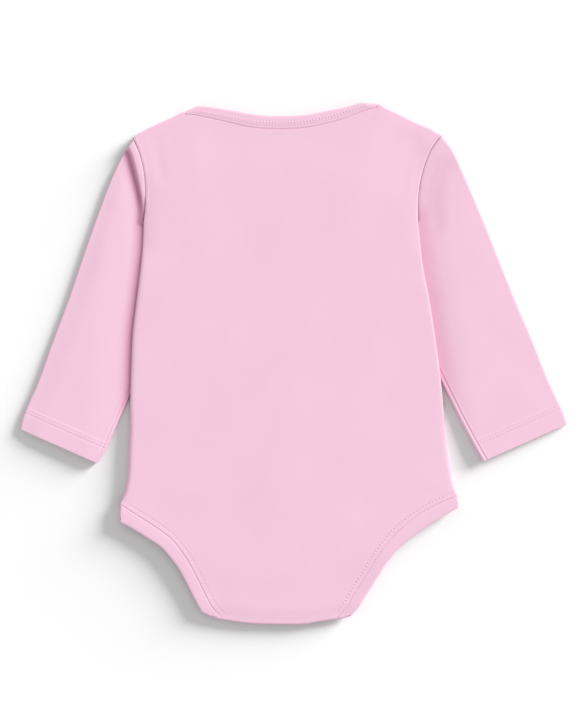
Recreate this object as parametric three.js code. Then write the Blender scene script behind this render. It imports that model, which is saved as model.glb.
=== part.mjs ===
// Baby onesie: a long sleeved baby bodysuit, laid flat on its front with the back up.
// Millimetres. +X is to the right of the photograph, +Y towards the neck, +Z up.
// The rest plane is z = 0 and the origin is the middle of the outline on that plane.
import * as THREE from 'three';

// Walls and gaps
const CLOTH = 1.2; // wall of the knit panels and sleeves
const RIB = 1.6; // wall of the folded rib bindings
const SEAM = 0.3; // gap between two pieces at a seam
const GAP_NECK = 3.8; // air between the panels at the neck and shoulders
const GAP_HIP = 4.6; // the same at the hips and legs
const GAP_SIDE = 1.6; // the same where a sleeve lies under the side
const GAP_CROTCH = 2.6; // between the panels where the back tab lies between them

// Heights of the lie
const SLEEVE_H = 2.8; // flattened sleeve: two walls and 0.4 between them
const LIFT = 3.1; // body raised where a sleeve lies under it
const TAB_LIFT = 1.3; // body raised over the snaps at the crotch
const BODY_H = 7.4; // top of the back in the middle of the body
const FOLD_R = 0.95; // middle line radius of a folded layer
const FOLD_Z = TAB_LIFT + 2 * CLOTH + GAP_CROTCH - CLOTH / 2 - FOLD_R; // crotch fold
const foldZ = (air) => (RIB / 2 + 2 * CLOTH + air - CLOTH / 2) / 2; // middle of a binding's fold

// Widths in plan
const ROLL_W = 4.0; // over which the back panel turns down at an edge
const TAPER = 50; // over which the body swells to its full height from a side
const NECK_TAPER = 50; // the same from the neck and shoulders
const TUCK_DROP = 12; // over which the front panel comes down beside a tucked sleeve
const TUCK_MARGIN = 2; // beyond the sleeve before it does
const TAB_BINDING = 8.4; // binding of the two crotch tabs

// Ranges of y over which a height changes, start and end
const CROTCH_FALL = [-176, -148];
const CROTCH_AIR = [-185, -150];
const FOLD_SWELL = [-205, -150];
const SHOULDER = [120, 180];

// Snaps
const SNAP_D = 9.5;
const SNAP_H = 1.0;
const SNAP_SIDES = 24;
const SNAP_RIM = 0.25;
const SNAP_X = [-42, -11, 20];
const SNAP_Y = -191.5;

// Outline of the back panel. Rows 0 to 9 run up the leg edge from the crotch fold, rows
// 9 to 20 up the side, rows 20 to 26 up the armhole to the shoulder tip.
// columns: left x, left y, right x, right y
const BACK_EDGE = [
  [-57.2, -203.4, 35.6, -202.8], [-63.0, -197.6, 42.8, -194.4], [-68.1, -189.8, 48.4, -184.0],
  [-76.2, -173.5, 57.2, -170.4], [-84.4, -158.2, 66.8, -154.4], [-93.6, -145.0, 77.2, -140.8],
  [-100.7, -137.8, 85.2, -132.8], [-114.0, -128.6, 99.6, -121.6], [-128.0, -119.7, 115.6, -112.4],
  [-138.0, -113.3, 130.8, -106.4], [-134.8, -101.6, 128.0, -97.6], [-132.8, -89.6, 125.6, -87.2],
  [-132.0, -69.6, 122.8, -69.6], [-131.2, -53.6, 121.2, -53.6], [-130.4, -29.6, 119.2, -29.6],
  [-129.6, -5.6, 116.8, -5.6], [-128.4, 22.4, 113.0, 22.4], [-125.2, 50.4, 108.6, 50.4],
  [-122.0, 76.0, 103.6, 76.0], [-120.2, 94.4, 101.4, 94.4], [-119.6, 112.8, 99.6, 112.8],
  [-118.4, 124.8, 99.4, 126.4], [-118.0, 138.4, 100.4, 140.0], [-119.2, 152.8, 103.2, 152.8],
  [-122.0, 164.8, 107.2, 164.8], [-124.8, 172.8, 112.4, 174.4], [-127.3, 178.4, 118.0, 182.0],
];
// The front panel's leg edge is cut a little higher, rows 0 to 9 from the end of its tab.
// columns: left x, left y, right x, right y
const FRONT_LEG = [
  [-57.2, -199.2, 35.6, -199.2], [-60.4, -192.8, 39.2, -192.4], [-64.4, -184.8, 44.0, -183.2],
  [-70.8, -171.2, 53.2, -168.0], [-78.0, -157.2, 62.8, -152.0], [-87.2, -144.0, 73.6, -138.8],
  [-95.6, -136.0, 82.0, -130.8], [-110.0, -126.0, 96.4, -120.0], [-124.4, -118.2, 114.0, -110.8],
];
const LEG_END = 9;
const SIDE_END = 20;
const TOP = 26;

// columns: x, y
const SHOULDER_LEFT = [
  [-127.3, 178.4], [-126.8, 180.8], [-124.4, 183.2], [-120.4, 185.6], [-115.6, 188.0],
  [-105.2, 192.8], [-94.8, 197.6], [-87.6, 200.4],
];
const SHOULDER_RIGHT = [
  [67.6, 206.6], [72.4, 204.8], [78.0, 202.4], [87.6, 197.6], [97.2, 192.8], [109.2, 188.0],
  [114.8, 184.0], [118.0, 182.0],
];
// Back neck seam and the free edge of the rib above it.
// columns: seam x, seam y, edge x, edge y
const NECK_BACK = [
  [-87.6, 200.4, -76.0, 205.8], [-86.6, 198.3, -74.1, 204.8], [-80.6, 198.0, -70.4, 204.8],
  [-74.8, 196.9, -66.0, 204.3], [-62.0, 194.2, -57.2, 202.9], [-49.2, 191.2, -46.0, 201.0],
  [-36.4, 188.2, -34.0, 198.9], [-23.6, 186.8, -22.0, 197.5], [-10.8, 186.4, -10.8, 197.2],
  [2.0, 186.8, 1.2, 197.5], [14.8, 188.4, 13.2, 198.6], [27.6, 191.2, 25.2, 201.0],
  [40.4, 194.8, 36.4, 203.2], [46.8, 197.4, 42.0, 204.6], [53.2, 199.9, 46.8, 205.4],
  [60.0, 202.4, 51.6, 206.2], [67.2, 204.0, 56.2, 206.3], [67.6, 206.6, 57.0, 207.9],
];
// columns: x, y
const NECK_FRONT = [
  [-87.6, 200.4], [-83.6, 186.4], [-73.2, 172.8], [-55.6, 162.4], [-33.2, 156.0], [-8.4, 153.6],
  [16.4, 156.0], [38.0, 164.0], [53.2, 176.8], [62.2, 191.2], [66.9, 202.5], [67.6, 206.6],
];
// Where the back panel is folded at the crotch, and where the front panel's tab ends.
// columns: x, y
const CROTCH_BACK = [
  [-57.2, -203.4], [-45.0, -205.3], [-32.4, -206.6], [-6.8, -207.2], [9.2, -206.9],
  [21.2, -204.9], [35.6, -202.8],
];
const CROTCH_FRONT = [[-57.2, -199.2], [-11, -199.6], [35.6, -199.2]];
// End of the back tab that is folded under. columns: x, y
const TAB_END = [[-50.0, -182.4], [26.8, -181.6]];

// Rows and columns of the panels' grids. The bindings follow the same ones.
const LEG_ROWS = [0, 0.75, 1.5, 2.25, 3, 3.75, 4.5, 5.25, 6, 6.75, 7.5, 8.25, 9];
const UPPER_ROWS = [
  9.5, 10, 10.7, 11.5, 12.3, 12.8, 13.2, 13.6, 14, 14.5, 15.2, 16, 17, 18, 19, 20,
];
const BACK_TOP_ROWS = [20.5, 21, 21.5, 22.2, 23, 23.7, 24.3, 24.9, 25.2];
const FRONT_TOP_ROWS = [20.6, 21.3, 22, 23, 24, 25, 26];
const NECK_L = 0.162; // share of the width at the left end of the neck
const NECK_R = 0.795; // and at its right end
const BACK_NECK_U = [
  NECK_L, 0.1709, 0.225, 0.285, 0.35, 0.42, 0.49, 0.56, 0.63, 0.69, 0.745, 0.7848, NECK_R,
];
const FRONT_NECK_U = [
  NECK_L, 0.205, 0.25, 0.3, 0.36, 0.42, 0.48, 0.54, 0.6, 0.66, 0.71, 0.75, 0.7819, NECK_R,
];
const BACK_MID_U = [0.065, 0.115, ...BACK_NECK_U, 0.85, 0.93];
const FRONT_U = [0, 0.035, 0.075, 0.115, ...FRONT_NECK_U, 0.84, 0.885, 0.925, 0.965, 1];
const LAST_STEP = 0.6; // rows over which the top edge turns down
const TAB_STEPS = [1, 0.5];
const FOLD_STEPS = [-90, -54, -18, 18, 54];
const ROLL_STEPS = [0, 22.5, 45, 67.5, 90];

// How the body lies over the tucked sleeves, by height on the body.
// columns: y, raise at the edges, sleeve depth at the left, sleeve depth at the right
const TUCK = [
  [-54, 0.0, 0, 0], [-30, 1.0, 3, 4], [-6, 1.0, 11, 9], [22, 1.0, 20, 16], [50, 1.0, 23, 20],
  [76, 1.0, 22, 18], [95, 1.0, 18, 15], [113, 1.0, 14, 12], [138, 1.0, 8, 8], [153, 0.8, 6, 6],
  [165, 0.4, 5, 5], [178, 0.0, 4, 4],
];

// Sleeves, a row for each section from the cuff to the armhole.
// columns: outer fold x, y, inner fold x, y
const SLEEVE_LEFT = [
  [-218.4, -52.8, -156.8, -80.0], [-215.2, -40.8, -150.4, -70.4], [-203.6, -13.6, -139.6, -45.6],
  [-192.4, 17.6, -126.0, -16.8], [-180.4, 49.6, -113.2, 12.8], [-169.2, 82.4, -104.4, 40.8],
  [-158.0, 114.4, -100.8, 64.0], [-146.8, 144.0, -101.6, 82.4], [-136.4, 166.4, -104.0, 94.4],
  [-127.9, 178.7, -106.8, 103.2],
];
const SLEEVE_RIGHT = [
  [218.8, -48.8, 151.2, -78.6], [214.8, -37.6, 145.6, -68.8], [203.6, -13.6, 134.8, -48.8],
  [190.8, 18.4, 121.2, -21.6], [177.2, 50.4, 107.6, 7.2], [164.4, 82.4, 94.0, 38.4],
  [151.6, 114.4, 87.6, 64.0], [138.0, 146.4, 87.2, 82.4], [127.8, 169.2, 88.8, 94.4],
  [118.6, 182.3, 90.8, 104.8],
];
// Upper layer of each sleeve: a strip beside the armhole stays as high as the body, then it
// drops, and beyond the drop it swells with air, most at its inner side. outerShare is the
// share of the air at the outer fold, and rounding is how far the cloth sinks towards it.
const SLEEVE_SHAPE = {
  left: { strip: 4.0, dropEnd: 9.5, air: 2.4, outerShare: 0.8, rounding: 1.3, swell: [3, 26] },
  right: { strip: 6.0, dropEnd: 24, air: 2.4, outerShare: 0.1, rounding: 0, swell: [2, 18] },
};
const ROUND_SHARE = 0.26; // share of a sleeve's width over which it sinks to its outer fold
const LOW_DROP = [1, 7];
const SLEEVE_STEP = 0.5;
const JOIN_STEPS = [0, 0.2, 0.4, 0.55, 0.7, 0.8, 0.9, 1];
const JOIN_ROWS = 2; // sections over which the sleeve's end turns into the armhole
const SPREAD_ROWS = 4; // sections over which its columns spread beforehand
const RISE_ROWS = [20.3, 21.9]; // armhole rows over which it climbs to the body
const ARM_STEP = 0.5;
const ROW_STEP = 0.1; // rows to both sides over which a line's direction is taken
const SLEEVE_TURN = [45, 0, -45]; // angles round a fold of a sleeve
const OUTER_COLUMNS = [0.07, 0.18, 0.32, 0.47, 0.62]; // shares of the width
const FOOT_COLUMNS = [-0.06, 0.03]; // beside the share at the armhole's foot
const LAST_COLUMN = 0.92;
const TIP_ROWS = [24.4, 25.4];
const TIP_GAP = 0.25; // more room at the shoulder tip

// Width of the leg bindings by row of the leg edge. columns: left, right
const LEG_WIDTH = [
  [10.0, 9.8], [8.8, 8.8], [8.7, 8.6], [8.9, 8.4], [9.1, 8.8],
  [9.9, 9.5], [10.1, 10.2], [10.5, 10.7], [10.9, 10.2], [12.4, 8.4],
];
// Width of the front neck binding at its right and left end
const NECK_WIDTH = [10.6, 12.6];
// Fold lines of the bindings: seam end, free end, and the way that the fold points.
const LEG_FOLDS = {
  left: {
    crotch: { seam: [-57.6, -203.5], free: [-67.2, -200.7], out: [-0.26, -0.966] },
    side: { seam: [-137.0, -113.7], free: [-137.8, -125.3], out: [-1, 0] },
  },
  right: {
    crotch: { seam: [36.0, -202.8], free: [45.6, -200.9], out: [0.19, -0.98] },
    side: { seam: [129.3, -106.9], free: [131.2, -114.6], out: [0.97, 0.24] },
  },
};
const NECK_FOLDS = {
  left: { seam: [-86.4, 199.0], free: [-74.1, 204.8], out: [-0.42, 0.91] },
  right: { seam: [66.4, 204.9], free: [56.8, 206.4], out: [0.14, 0.99] },
};
const TURN = 6; // steps round a fold of the bindings
const LEG_BLEND = [0.25, 0.1]; // shares of a leg edge over which its binding turns to the folds
const TAB_LINE = [0, 0.25, 0.5, 0.75, 1]; // shares along the edge of the tab
const TAB_BLEND = [0.6, 0.6]; // the same along the edge of the tab
const FRONT_BLEND = [0.12, 0.12]; // the same along the front leg and neck edges
const TAB_SLANT = 0.05; // rise of the tab binding's free edge for each mm of its width
const FRONT_SLANT = 0.1; // fall of the front binding's free edge at the crotch
const FRONT_NARROW = [0, 0.3]; // shares over which the front leg binding narrows to the tab's
const NECK_WIDEN = [0.6, 1]; // shares over which the front neck binding widens

// Look of each kind of piece
const LOOKS = {
  knit: { color: 0xf4c9db, roughness: 0.92, metalness: 0 },
  rib: { color: 0xf2c5d8, roughness: 0.9, metalness: 0 },
  snap: { color: 0xe3b2c9, roughness: 0.35, metalness: 0 },
};

// Small helpers
const lerp = (a, b, t) => a + (b - a) * t;
const mix = (p, q, t) => p.map((v, i) => lerp(v, q[i], t));
const clamp = (x, a, b) => Math.min(b, Math.max(a, x));
const share = (a, b, x) => clamp((x - a) / (b - a), 0, 1);
const smooth = (a, b, x) => share(a, b, x) ** 2 * (3 - 2 * share(a, b, x));
const add = (p, q, k = 1) => p.map((v, i) => v + k * q[i]);
const distance = (p, q) => Math.hypot(...add(p, q, -1));
const unit = (v) => v.map((c) => c / (Math.hypot(...v) || 1));
const radians = (degrees) => degrees * Math.PI / 180;
const pairs = (table, first) => table.map((row) => [row[first], row[first + 1]]);

// Smooth curve through a chain of points, at a place counted in points.
function curve(points, place) {
  const last = points.length - 1;
  const i = clamp(Math.floor(place), 0, last - 1);
  const t = place - i;
  const beyond = (end, next) => add(points[end], add(points[end], points[next], -1));
  const at = (k) => (k < 0 ? beyond(0, 1) : k > last ? beyond(last, last - 1) : points[k]);
  const [p0, p1, p2, p3] = [at(i - 1), at(i), at(i + 1), at(i + 2)];
  return p1.map((v, c) => 0.5 * (2 * v + (p2[c] - p0[c]) * t
    + (2 * p0[c] - 5 * v + 4 * p2[c] - p3[c]) * t * t
    + (3 * v - p0[c] - 3 * p2[c] + p3[c]) * t * t * t));
}
// Side of a panel at a row, with corners where the leg ends and where the armhole starts.
function edge(side, row) {
  const stops = row <= LEG_END ? [0, LEG_END] : row <= SIDE_END ? [LEG_END, SIDE_END] : [SIDE_END, TOP];
  return curve(side.slice(stops[0], stops[1] + 1), row - stops[0]);
}
// Point at a share of the length of a chain of points.
function along(points, t) {
  const lengths = points.slice(1).map((p, i) => distance(p, points[i]));
  let rest = t * lengths.reduce((a, b) => a + b, 0);
  let i = 0;
  while (i < lengths.length - 1 && rest > lengths[i]) {
    rest -= lengths[i];
    i += 1;
  }
  return mix(points[i], points[i + 1], rest / lengths[i]);
}
// Value from a table by its first column, straight or eased between the rows.
function lookUp(table, x, column, ease = share) {
  const after = table.findIndex((row) => x <= row[0]);
  if (after === 0) return table[0][column];
  if (after < 0) return table[table.length - 1][column];
  const [a, b] = [table[after - 1], table[after]];
  return lerp(a[column], b[column], ease(a[0], b[0], x));
}

// Sides of the two panels
const BACK_SIDES = [pairs(BACK_EDGE, 0), pairs(BACK_EDGE, 2)];
const FRONT_SIDES = BACK_SIDES.map((side, i) => [...pairs(FRONT_LEG, 2 * i), ...side.slice(LEG_END)]);
const SAMPLES = 130;
const byHeight = (side) => Array.from({ length: SAMPLES + 1 }, (_, i) => {
  const [x, y] = edge(side, TOP * i / SAMPLES);
  return [y, x];
});
const LEFT_BY_Y = byHeight(BACK_SIDES[0]);
const RIGHT_BY_Y = byHeight(BACK_SIDES[1]);
const TOP_LINE = [...SHOULDER_LEFT, ...pairs(NECK_BACK, 0).slice(2, -2), ...SHOULDER_RIGHT];
const fromLeft = (x, y) => x - lookUp(LEFT_BY_Y, y, 1);
const fromRight = (x, y) => lookUp(RIGHT_BY_Y, y, 1) - x;

// Height of the front panel's underside.
function base(x, y) {
  const tab = TAB_LIFT * (1 - smooth(...CROTCH_FALL, y));
  const raise = LIFT * lookUp(TUCK, y, 1, smooth);
  const beyond = (d, column) => d - lookUp(TUCK, y, column, smooth) - TUCK_MARGIN;
  const left = raise * (1 - smooth(0, TUCK_DROP, beyond(fromLeft(x, y), 2)));
  const right = raise * (1 - smooth(0, TUCK_DROP, beyond(fromRight(x, y), 3)));
  return Math.max(tab, left, right);
}
// Height of the back panel's top, before its edges turn down.
function backTop(x, y) {
  const tucked = LIFT * lookUp(TUCK, y, 1, smooth) + GAP_SIDE;
  const side = Math.max(tucked, lerp(GAP_HIP, GAP_NECK, smooth(...SHOULDER, y)));
  const rim = 2 * CLOTH + lerp(TAB_LIFT + GAP_CROTCH, side, smooth(...CROTCH_AIR, y));
  const inside = smooth(0, TAPER, Math.min(fromLeft(x, y), fromRight(x, y)))
    * smooth(0, NECK_TAPER, lookUp(TOP_LINE, x, 1) - y) * smooth(...FOLD_SWELL, y);
  return lerp(rim, BODY_H, inside);
}
const gap = (x, y) => backTop(x, y) - base(x, y) - 2 * CLOTH;

// Closed solid with its faces outward.
function solid(name, positions, triangles, look) {
  const corner = (t, k) => new THREE.Vector3().fromArray(positions, triangles[t + k] * 3);
  let volume = 0;
  for (let t = 0; t < triangles.length; t += 3) volume += corner(t, 0).dot(corner(t, 1).cross(corner(t, 2)));
  if (volume < 0) triangles.reverse();
  const geometry = new THREE.BufferGeometry();
  geometry.setAttribute('position', new THREE.Float32BufferAttribute(positions, 3));
  geometry.setIndex(triangles);
  geometry.computeVertexNormals();
  const mesh = new THREE.Mesh(geometry, new THREE.MeshStandardMaterial(look));
  mesh.name = name;
  return mesh;
}
// Outer and inner grids of points become one wall. `wrap` joins the last column to the
// first, as on a tube.
function wallSolid(name, outer, inner, look, wrap = false) {
  const rows = outer.length;
  const columns = outer[0].length;
  const positions = [outer, inner].flat(3);
  const triangles = [];
  const id = (sheet, i, j) => (sheet * rows + i) * columns + (j % columns);
  const quad = (a, b, c, d) => triangles.push(a, b, c, a, c, d);
  const across = wrap ? columns : columns - 1;
  for (let j = 0; j < across; j++) {
    for (let i = 0; i < rows - 1; i++) {
      quad(id(0, i, j), id(0, i, j + 1), id(0, i + 1, j + 1), id(0, i + 1, j));
      quad(id(1, i, j), id(1, i + 1, j), id(1, i + 1, j + 1), id(1, i, j + 1));
    }
    quad(id(0, 0, j), id(1, 0, j), id(1, 0, j + 1), id(0, 0, j + 1));
    quad(id(0, rows - 1, j), id(0, rows - 1, j + 1), id(1, rows - 1, j + 1), id(1, rows - 1, j));
  }
  for (let i = 0; !wrap && i < rows - 1; i++) {
    quad(id(0, i, 0), id(0, i + 1, 0), id(1, i + 1, 0), id(1, i, 0));
    quad(id(0, i, columns - 1), id(1, i, columns - 1), id(1, i + 1, columns - 1), id(0, i + 1, columns - 1));
  }
  return solid(name, positions, triangles, look);
}
// A row of closed sections becomes one solid, a ring when `closed`.
function sectionSolid(name, sections, look, closed = false) {
  const count = sections.length;
  const around = sections[0].length;
  const triangles = [];
  const id = (i, j) => (i % count) * around + (j % around);
  for (let i = 0; i < (closed ? count : count - 1); i++) {
    for (let j = 0; j < around; j++) {
      triangles.push(id(i, j), id(i, j + 1), id(i + 1, j + 1), id(i, j), id(i + 1, j + 1), id(i + 1, j));
    }
  }
  const hub = Math.floor(around / 2); // no three points in line with it
  for (let k = 1; !closed && k < around - 1; k++) {
    triangles.push(id(0, hub), id(0, hub + k + 1), id(0, hub + k));
    triangles.push(id(count - 1, hub), id(count - 1, hub + k), id(count - 1, hub + k + 1));
  }
  return solid(name, sections.flat(2), triangles, look);
}

// The two panels as smooth patches. Their upper rows bend to the neck and shoulders from
// `topFrom`, and their lowest rows to the crotch.
const BACK = {
  sides: BACK_SIDES, neck: pairs(NECK_BACK, 0), crotch: CROTCH_BACK, topFrom: 20, topPower: 1.5,
};
const FRONT = {
  sides: FRONT_SIDES, neck: NECK_FRONT, crotch: CROTCH_FRONT, topFrom: 14, topPower: 1.2,
};
const CROTCH_ROWS = 4;
const CROTCH_POWER = 1.5;
function topEdge(neck, u) {
  if (u <= NECK_L) return along(SHOULDER_LEFT, u / NECK_L);
  if (u >= NECK_R) return along(SHOULDER_RIGHT, (u - NECK_R) / (1 - NECK_R));
  return along(neck, (u - NECK_L) / (NECK_R - NECK_L));
}
// Plan position on a panel: u runs from the left edge to the right, row from crotch to top.
function panelPoint(panel, u, row) {
  const chord = (r) => mix(edge(panel.sides[0], r), edge(panel.sides[1], r), u);
  const up = share(panel.topFrom, TOP, row) ** panel.topPower;
  const down = (1 - share(0, CROTCH_ROWS, row)) ** CROTCH_POWER;
  const raised = add(chord(row), add(topEdge(panel.neck, u), chord(TOP), -1), up);
  return add(raised, add(along(panel.crotch, u), chord(0), -1), down);
}
const rowWidth = (panel, row) => distance(edge(panel.sides[0], row), edge(panel.sides[1], row));

// Columns of the back panel at a row: share of the width, angle of the turned edge (0 at the
// outline, where the wall stands upright, 90 on the flat top) and side.
function backColumns(row) {
  const reach = (angle) => ROLL_W * (1 - Math.cos(radians(angle))) / rowWidth(BACK, row);
  const left = ROLL_STEPS.map((angle) => ({ u: reach(angle), angle, side: -1 }));
  const right = ROLL_STEPS.map((angle) => ({ u: 1 - reach(angle), angle, side: 1 })).reverse();
  return [...left, ...BACK_MID_U.map((u) => ({ u, angle: 90, side: 0 })), ...right];
}
const SIDE_TURN_FROM = [9.0, 9.9]; // rows over which the side turns under
const SIDE_TURN_TO = [20.5, 21.5];
const SHOULDER_TURN = [0.004, 0.035]; // shares beside the neck where the shoulder turns under
const TIP_TURN = 0.02; // share at the shoulder's tip
const sideTurn = (row) => smooth(...SIDE_TURN_FROM, row) * (1 - smooth(...SIDE_TURN_TO, row));
function shoulderTurn(u) {
  const [near, far] = SHOULDER_TURN;
  const left = smooth(0, TIP_TURN, u) * (1 - smooth(NECK_L - far, NECK_L - near, u));
  const right = smooth(NECK_R + near, NECK_R + far, u) * (1 - smooth(1 - TIP_TURN, 1, u));
  return Math.max(left, right);
}
// A point of the back panel and the point one wall below it.
function backPoint({ u, angle, side }, row, topAngle) {
  const before = panelPoint(BACK, u, TOP - LAST_STEP);
  const ahead = add(panelPoint(BACK, u, TOP), before, -1);
  const back = topAngle === null ? 0 : ROLL_W * (1 - Math.cos(radians(topAngle))) / Math.hypot(...ahead);
  const [x, y] = panelPoint(BACK, u, row - LAST_STEP * back);
  const height = gap(x, y) + CLOTH - SEAM;
  const turned = (a, out) => {
    const flat = height * Math.cos(a);
    return unit([out[0] * flat, out[1] * flat, ROLL_W * Math.sin(a)]);
  };
  const atSide = side ? sideTurn(row) : 0;
  const atTop = topAngle === null ? 0 : shoulderTurn(u);
  const sideDrop = atSide * height * (1 - Math.sin(radians(angle)));
  const topDrop = atTop * height * (1 - Math.sin(radians(topAngle ?? 90)));
  const sideNormal = mix([0, 0, 1], turned(radians(angle), [side, 0]), atSide);
  const normal = mix(sideNormal, turned(radians(topAngle ?? 90), unit(ahead)), atTop);
  const point = [x, y, backTop(x, y) - Math.max(sideDrop, topDrop)];
  return [point, add(point, normal, -CLOTH)];
}
function backPanel() {
  const outer = [];
  const inner = [];
  const put = (line) => {
    outer.push(line.map(([point]) => point));
    inner.push(line.map(([, below]) => below));
  };
  const firstColumns = backColumns(0).map(({ u }) => u);
  for (const k of TAB_STEPS) {
    const plan = (u) => mix(along(CROTCH_BACK, u), mix(...TAB_END, u), k);
    const layer = FOLD_Z - FOLD_R;
    put(firstColumns.map((u) => [[...plan(u), layer - CLOTH / 2], [...plan(u), layer + CLOTH / 2]]));
  }
  for (const degrees of FOLD_STEPS) {
    const turn = (u, radius) => {
      const [x, y] = along(CROTCH_BACK, u);
      return [x, y - radius * Math.cos(radians(degrees)), FOLD_Z + radius * Math.sin(radians(degrees))];
    };
    put(firstColumns.map((u) => [turn(u, FOLD_R + CLOTH / 2), turn(u, FOLD_R - CLOTH / 2)]));
  }
  for (const row of [...LEG_ROWS, ...UPPER_ROWS, ...BACK_TOP_ROWS]) {
    put(backColumns(row).map((column) => backPoint(column, row, null)));
  }
  for (const angle of [...ROLL_STEPS].reverse()) {
    put(backColumns(TOP).map((column) => backPoint(column, TOP, angle)));
  }
  return wallSolid('back_panel', outer, inner, LOOKS.knit);
}

function frontPanel() {
  const rows = [...LEG_ROWS, ...UPPER_ROWS, ...FRONT_TOP_ROWS];
  const plan = rows.map((row) => FRONT_U.map((u) => panelPoint(FRONT, u, row)));
  const layer = (rise) => plan.map((line) => line.map(([x, y]) => [x, y, base(x, y) + rise]));
  return wallSolid('front_panel', layer(CLOTH), layer(0), LOOKS.knit);
}

// Armhole line from the shoulder tip down to its foot, a seam's gap outside the panel.
// Each point is x, y and its row on the panel.
function armholeLine(panelSide, side) {
  const steps = Math.round((TOP - SIDE_END) / ARM_STEP);
  return Array.from({ length: steps + 1 }, (_, i) => {
    const row = TOP - i * ARM_STEP;
    const before = edge(panelSide, Math.max(row - ROW_STEP, SIDE_END));
    const d = add(edge(panelSide, Math.min(row + ROW_STEP, TOP)), before, -1);
    const out = unit([side * d[1], -side * d[0]]);
    return [...add(edge(panelSide, row), out, SEAM + TIP_GAP * smooth(...TIP_ROWS, row)), row];
  });
}
// Nearest place on the armhole line: distance and row.
function nearestOn(line, x, y) {
  let best = { d: Infinity, row: TOP };
  for (let i = 0; i < line.length - 1; i++) {
    const [a, b] = [line[i], line[i + 1]];
    const d = [b[0] - a[0], b[1] - a[1]];
    const t = clamp(((x - a[0]) * d[0] + (y - a[1]) * d[1]) / (d[0] ** 2 + d[1] ** 2), 0, 1);
    const away = Math.hypot(x - a[0] - t * d[0], y - a[1] - t * d[1]);
    if (away < best.d) best = { d: away, row: lerp(a[2], b[2], t) };
  }
  return best;
}
// A sleeve is a tube pressed flat. `side` is -1 for the left one and 1 for the right one.
function sleeve(name, table, side) {
  const panelSide = BACK_SIDES[side < 0 ? 0 : 1];
  const shape = SLEEVE_SHAPE[side < 0 ? 'left' : 'right'];
  const { strip, dropEnd, air, outerShare, rounding, swell } = shape;
  const fromBody = (x, y) => -(side < 0 ? fromLeft(x, y) : fromRight(x, y));
  const outer = pairs(table, 0);
  const inner = pairs(table, 2);
  const end = table.length - 1;
  const joinAt = end - JOIN_ROWS;
  const line = armholeLine(panelSide, side);
  const arm = pairs(line, 0);
  const foot = edge(panelSide, SIDE_END);
  const tail = inner[end];
  const armLength = arm.slice(1).reduce((sum, p, i) => sum + distance(p, arm[i]), 0);
  const vFoot = armLength / (armLength + distance(tail, foot));
  const endLine = (v) => {
    if (v <= vFoot) return along(arm, v / vFoot);
    return mix(arm[arm.length - 1], tail, share(vFoot, 1, v));
  };
  // share of the joining section at which it passes under the body's edge
  const shares = Array.from({ length: 200 }, (_, i) => i / 200);
  const vCross = Math.max(...shares.filter((v) => fromBody(...mix(outer[joinAt], inner[joinAt], v)) > 0));
  const spread = (v) => (v <= vFoot ? v / vFoot * vCross : lerp(vCross, 1, share(vFoot, 1, v)));
  const section = (v, s) => {
    const c = lerp(v, spread(v), smooth(joinAt - SPREAD_ROWS, joinAt, s));
    if (s <= joinAt) return mix(curve(outer, s), curve(inner, s), c);
    const k = (s - joinAt) / JOIN_ROWS;
    const straight = mix(mix(outer[joinAt], inner[joinAt], c), endLine(v), k);
    return add(straight, add(curve(outer, s), mix(outer[joinAt], outer[end], k), -1), (1 - v) ** 2);
  };
  const heights = (x, y, v) => {
    const { d, row } = nearestOn(line, x, y);
    const at = edge(panelSide, row);
    const rise = smooth(...RISE_ROWS, row);
    const swollen = smooth(...swell, Math.min(fromBody(x, y), d));
    const sunk = rounding * (1 - smooth(0, ROUND_SHARE, v));
    const puff = (air * lerp(outerShare, 1, clamp(v, 0, 1)) - sunk) * swollen;
    const top = lerp(SLEEVE_H + puff, backTop(...at), rise * (1 - smooth(strip, dropEnd, d)));
    return [top, base(...at) * rise * (1 - smooth(...LOW_DROP, d))];
  };
  const ring = (s, columns) => {
    const r = SLEEVE_H / 2 / distance(section(0, s), section(1, s));
    const put = (v, layer) => [...section(v, s), heights(...section(v, s), v)[layer]];
    const fold = (from, to, angles) => {
      const [high, low] = heights(...section(from, s), from);
      const z = (a) => (high + low) / 2 + (high - low) / 2 * Math.sin(a);
      return angles.map(radians).map((a) => [...mix(section(from, s), section(to, s), Math.cos(a)), z(a)]);
    };
    const all = [r, ...columns, 1 - r];
    return [...all.map((v) => put(v, 0)), ...fold(1 - r, 1, SLEEVE_TURN),
      ...[...all].reverse().map((v) => put(v, 1)), ...fold(r, 0, [...SLEEVE_TURN].reverse())];
  };
  const columns = [...OUTER_COLUMNS, ...FOOT_COLUMNS.map((c) => vFoot + c), LAST_COLUMN];
  const early = Array.from({ length: Math.round(joinAt / SLEEVE_STEP) }, (_, i) => i * SLEEVE_STEP);
  const stations = [...early, ...JOIN_STEPS.map((k) => lerp(joinAt, end, k))];
  const grid = stations.map((s) => ring(s, columns));
  const below = (i, j) => {
    const around = grid[i].length;
    const p = grid[i][j];
    const next = grid[Math.min(i + 1, grid.length - 1)][j];
    const last = grid[Math.max(i - 1, 0)][j];
    const lengthwise = new THREE.Vector3(...add(next, last, -1));
    const before = unit(add(p, grid[i][(j + around - 1) % around], -1));
    const after = unit(add(grid[i][(j + 1) % around], p, -1));
    const normal = lengthwise.cross(new THREE.Vector3(...add(before, after))).normalize();
    return add(p, normal.toArray(), -side * CLOTH);
  };
  const lining = grid.map((points, i) => points.map((_, j) => below(i, j)));
  return wallSolid(name, grid, lining, LOOKS.knit, true);
}

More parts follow.
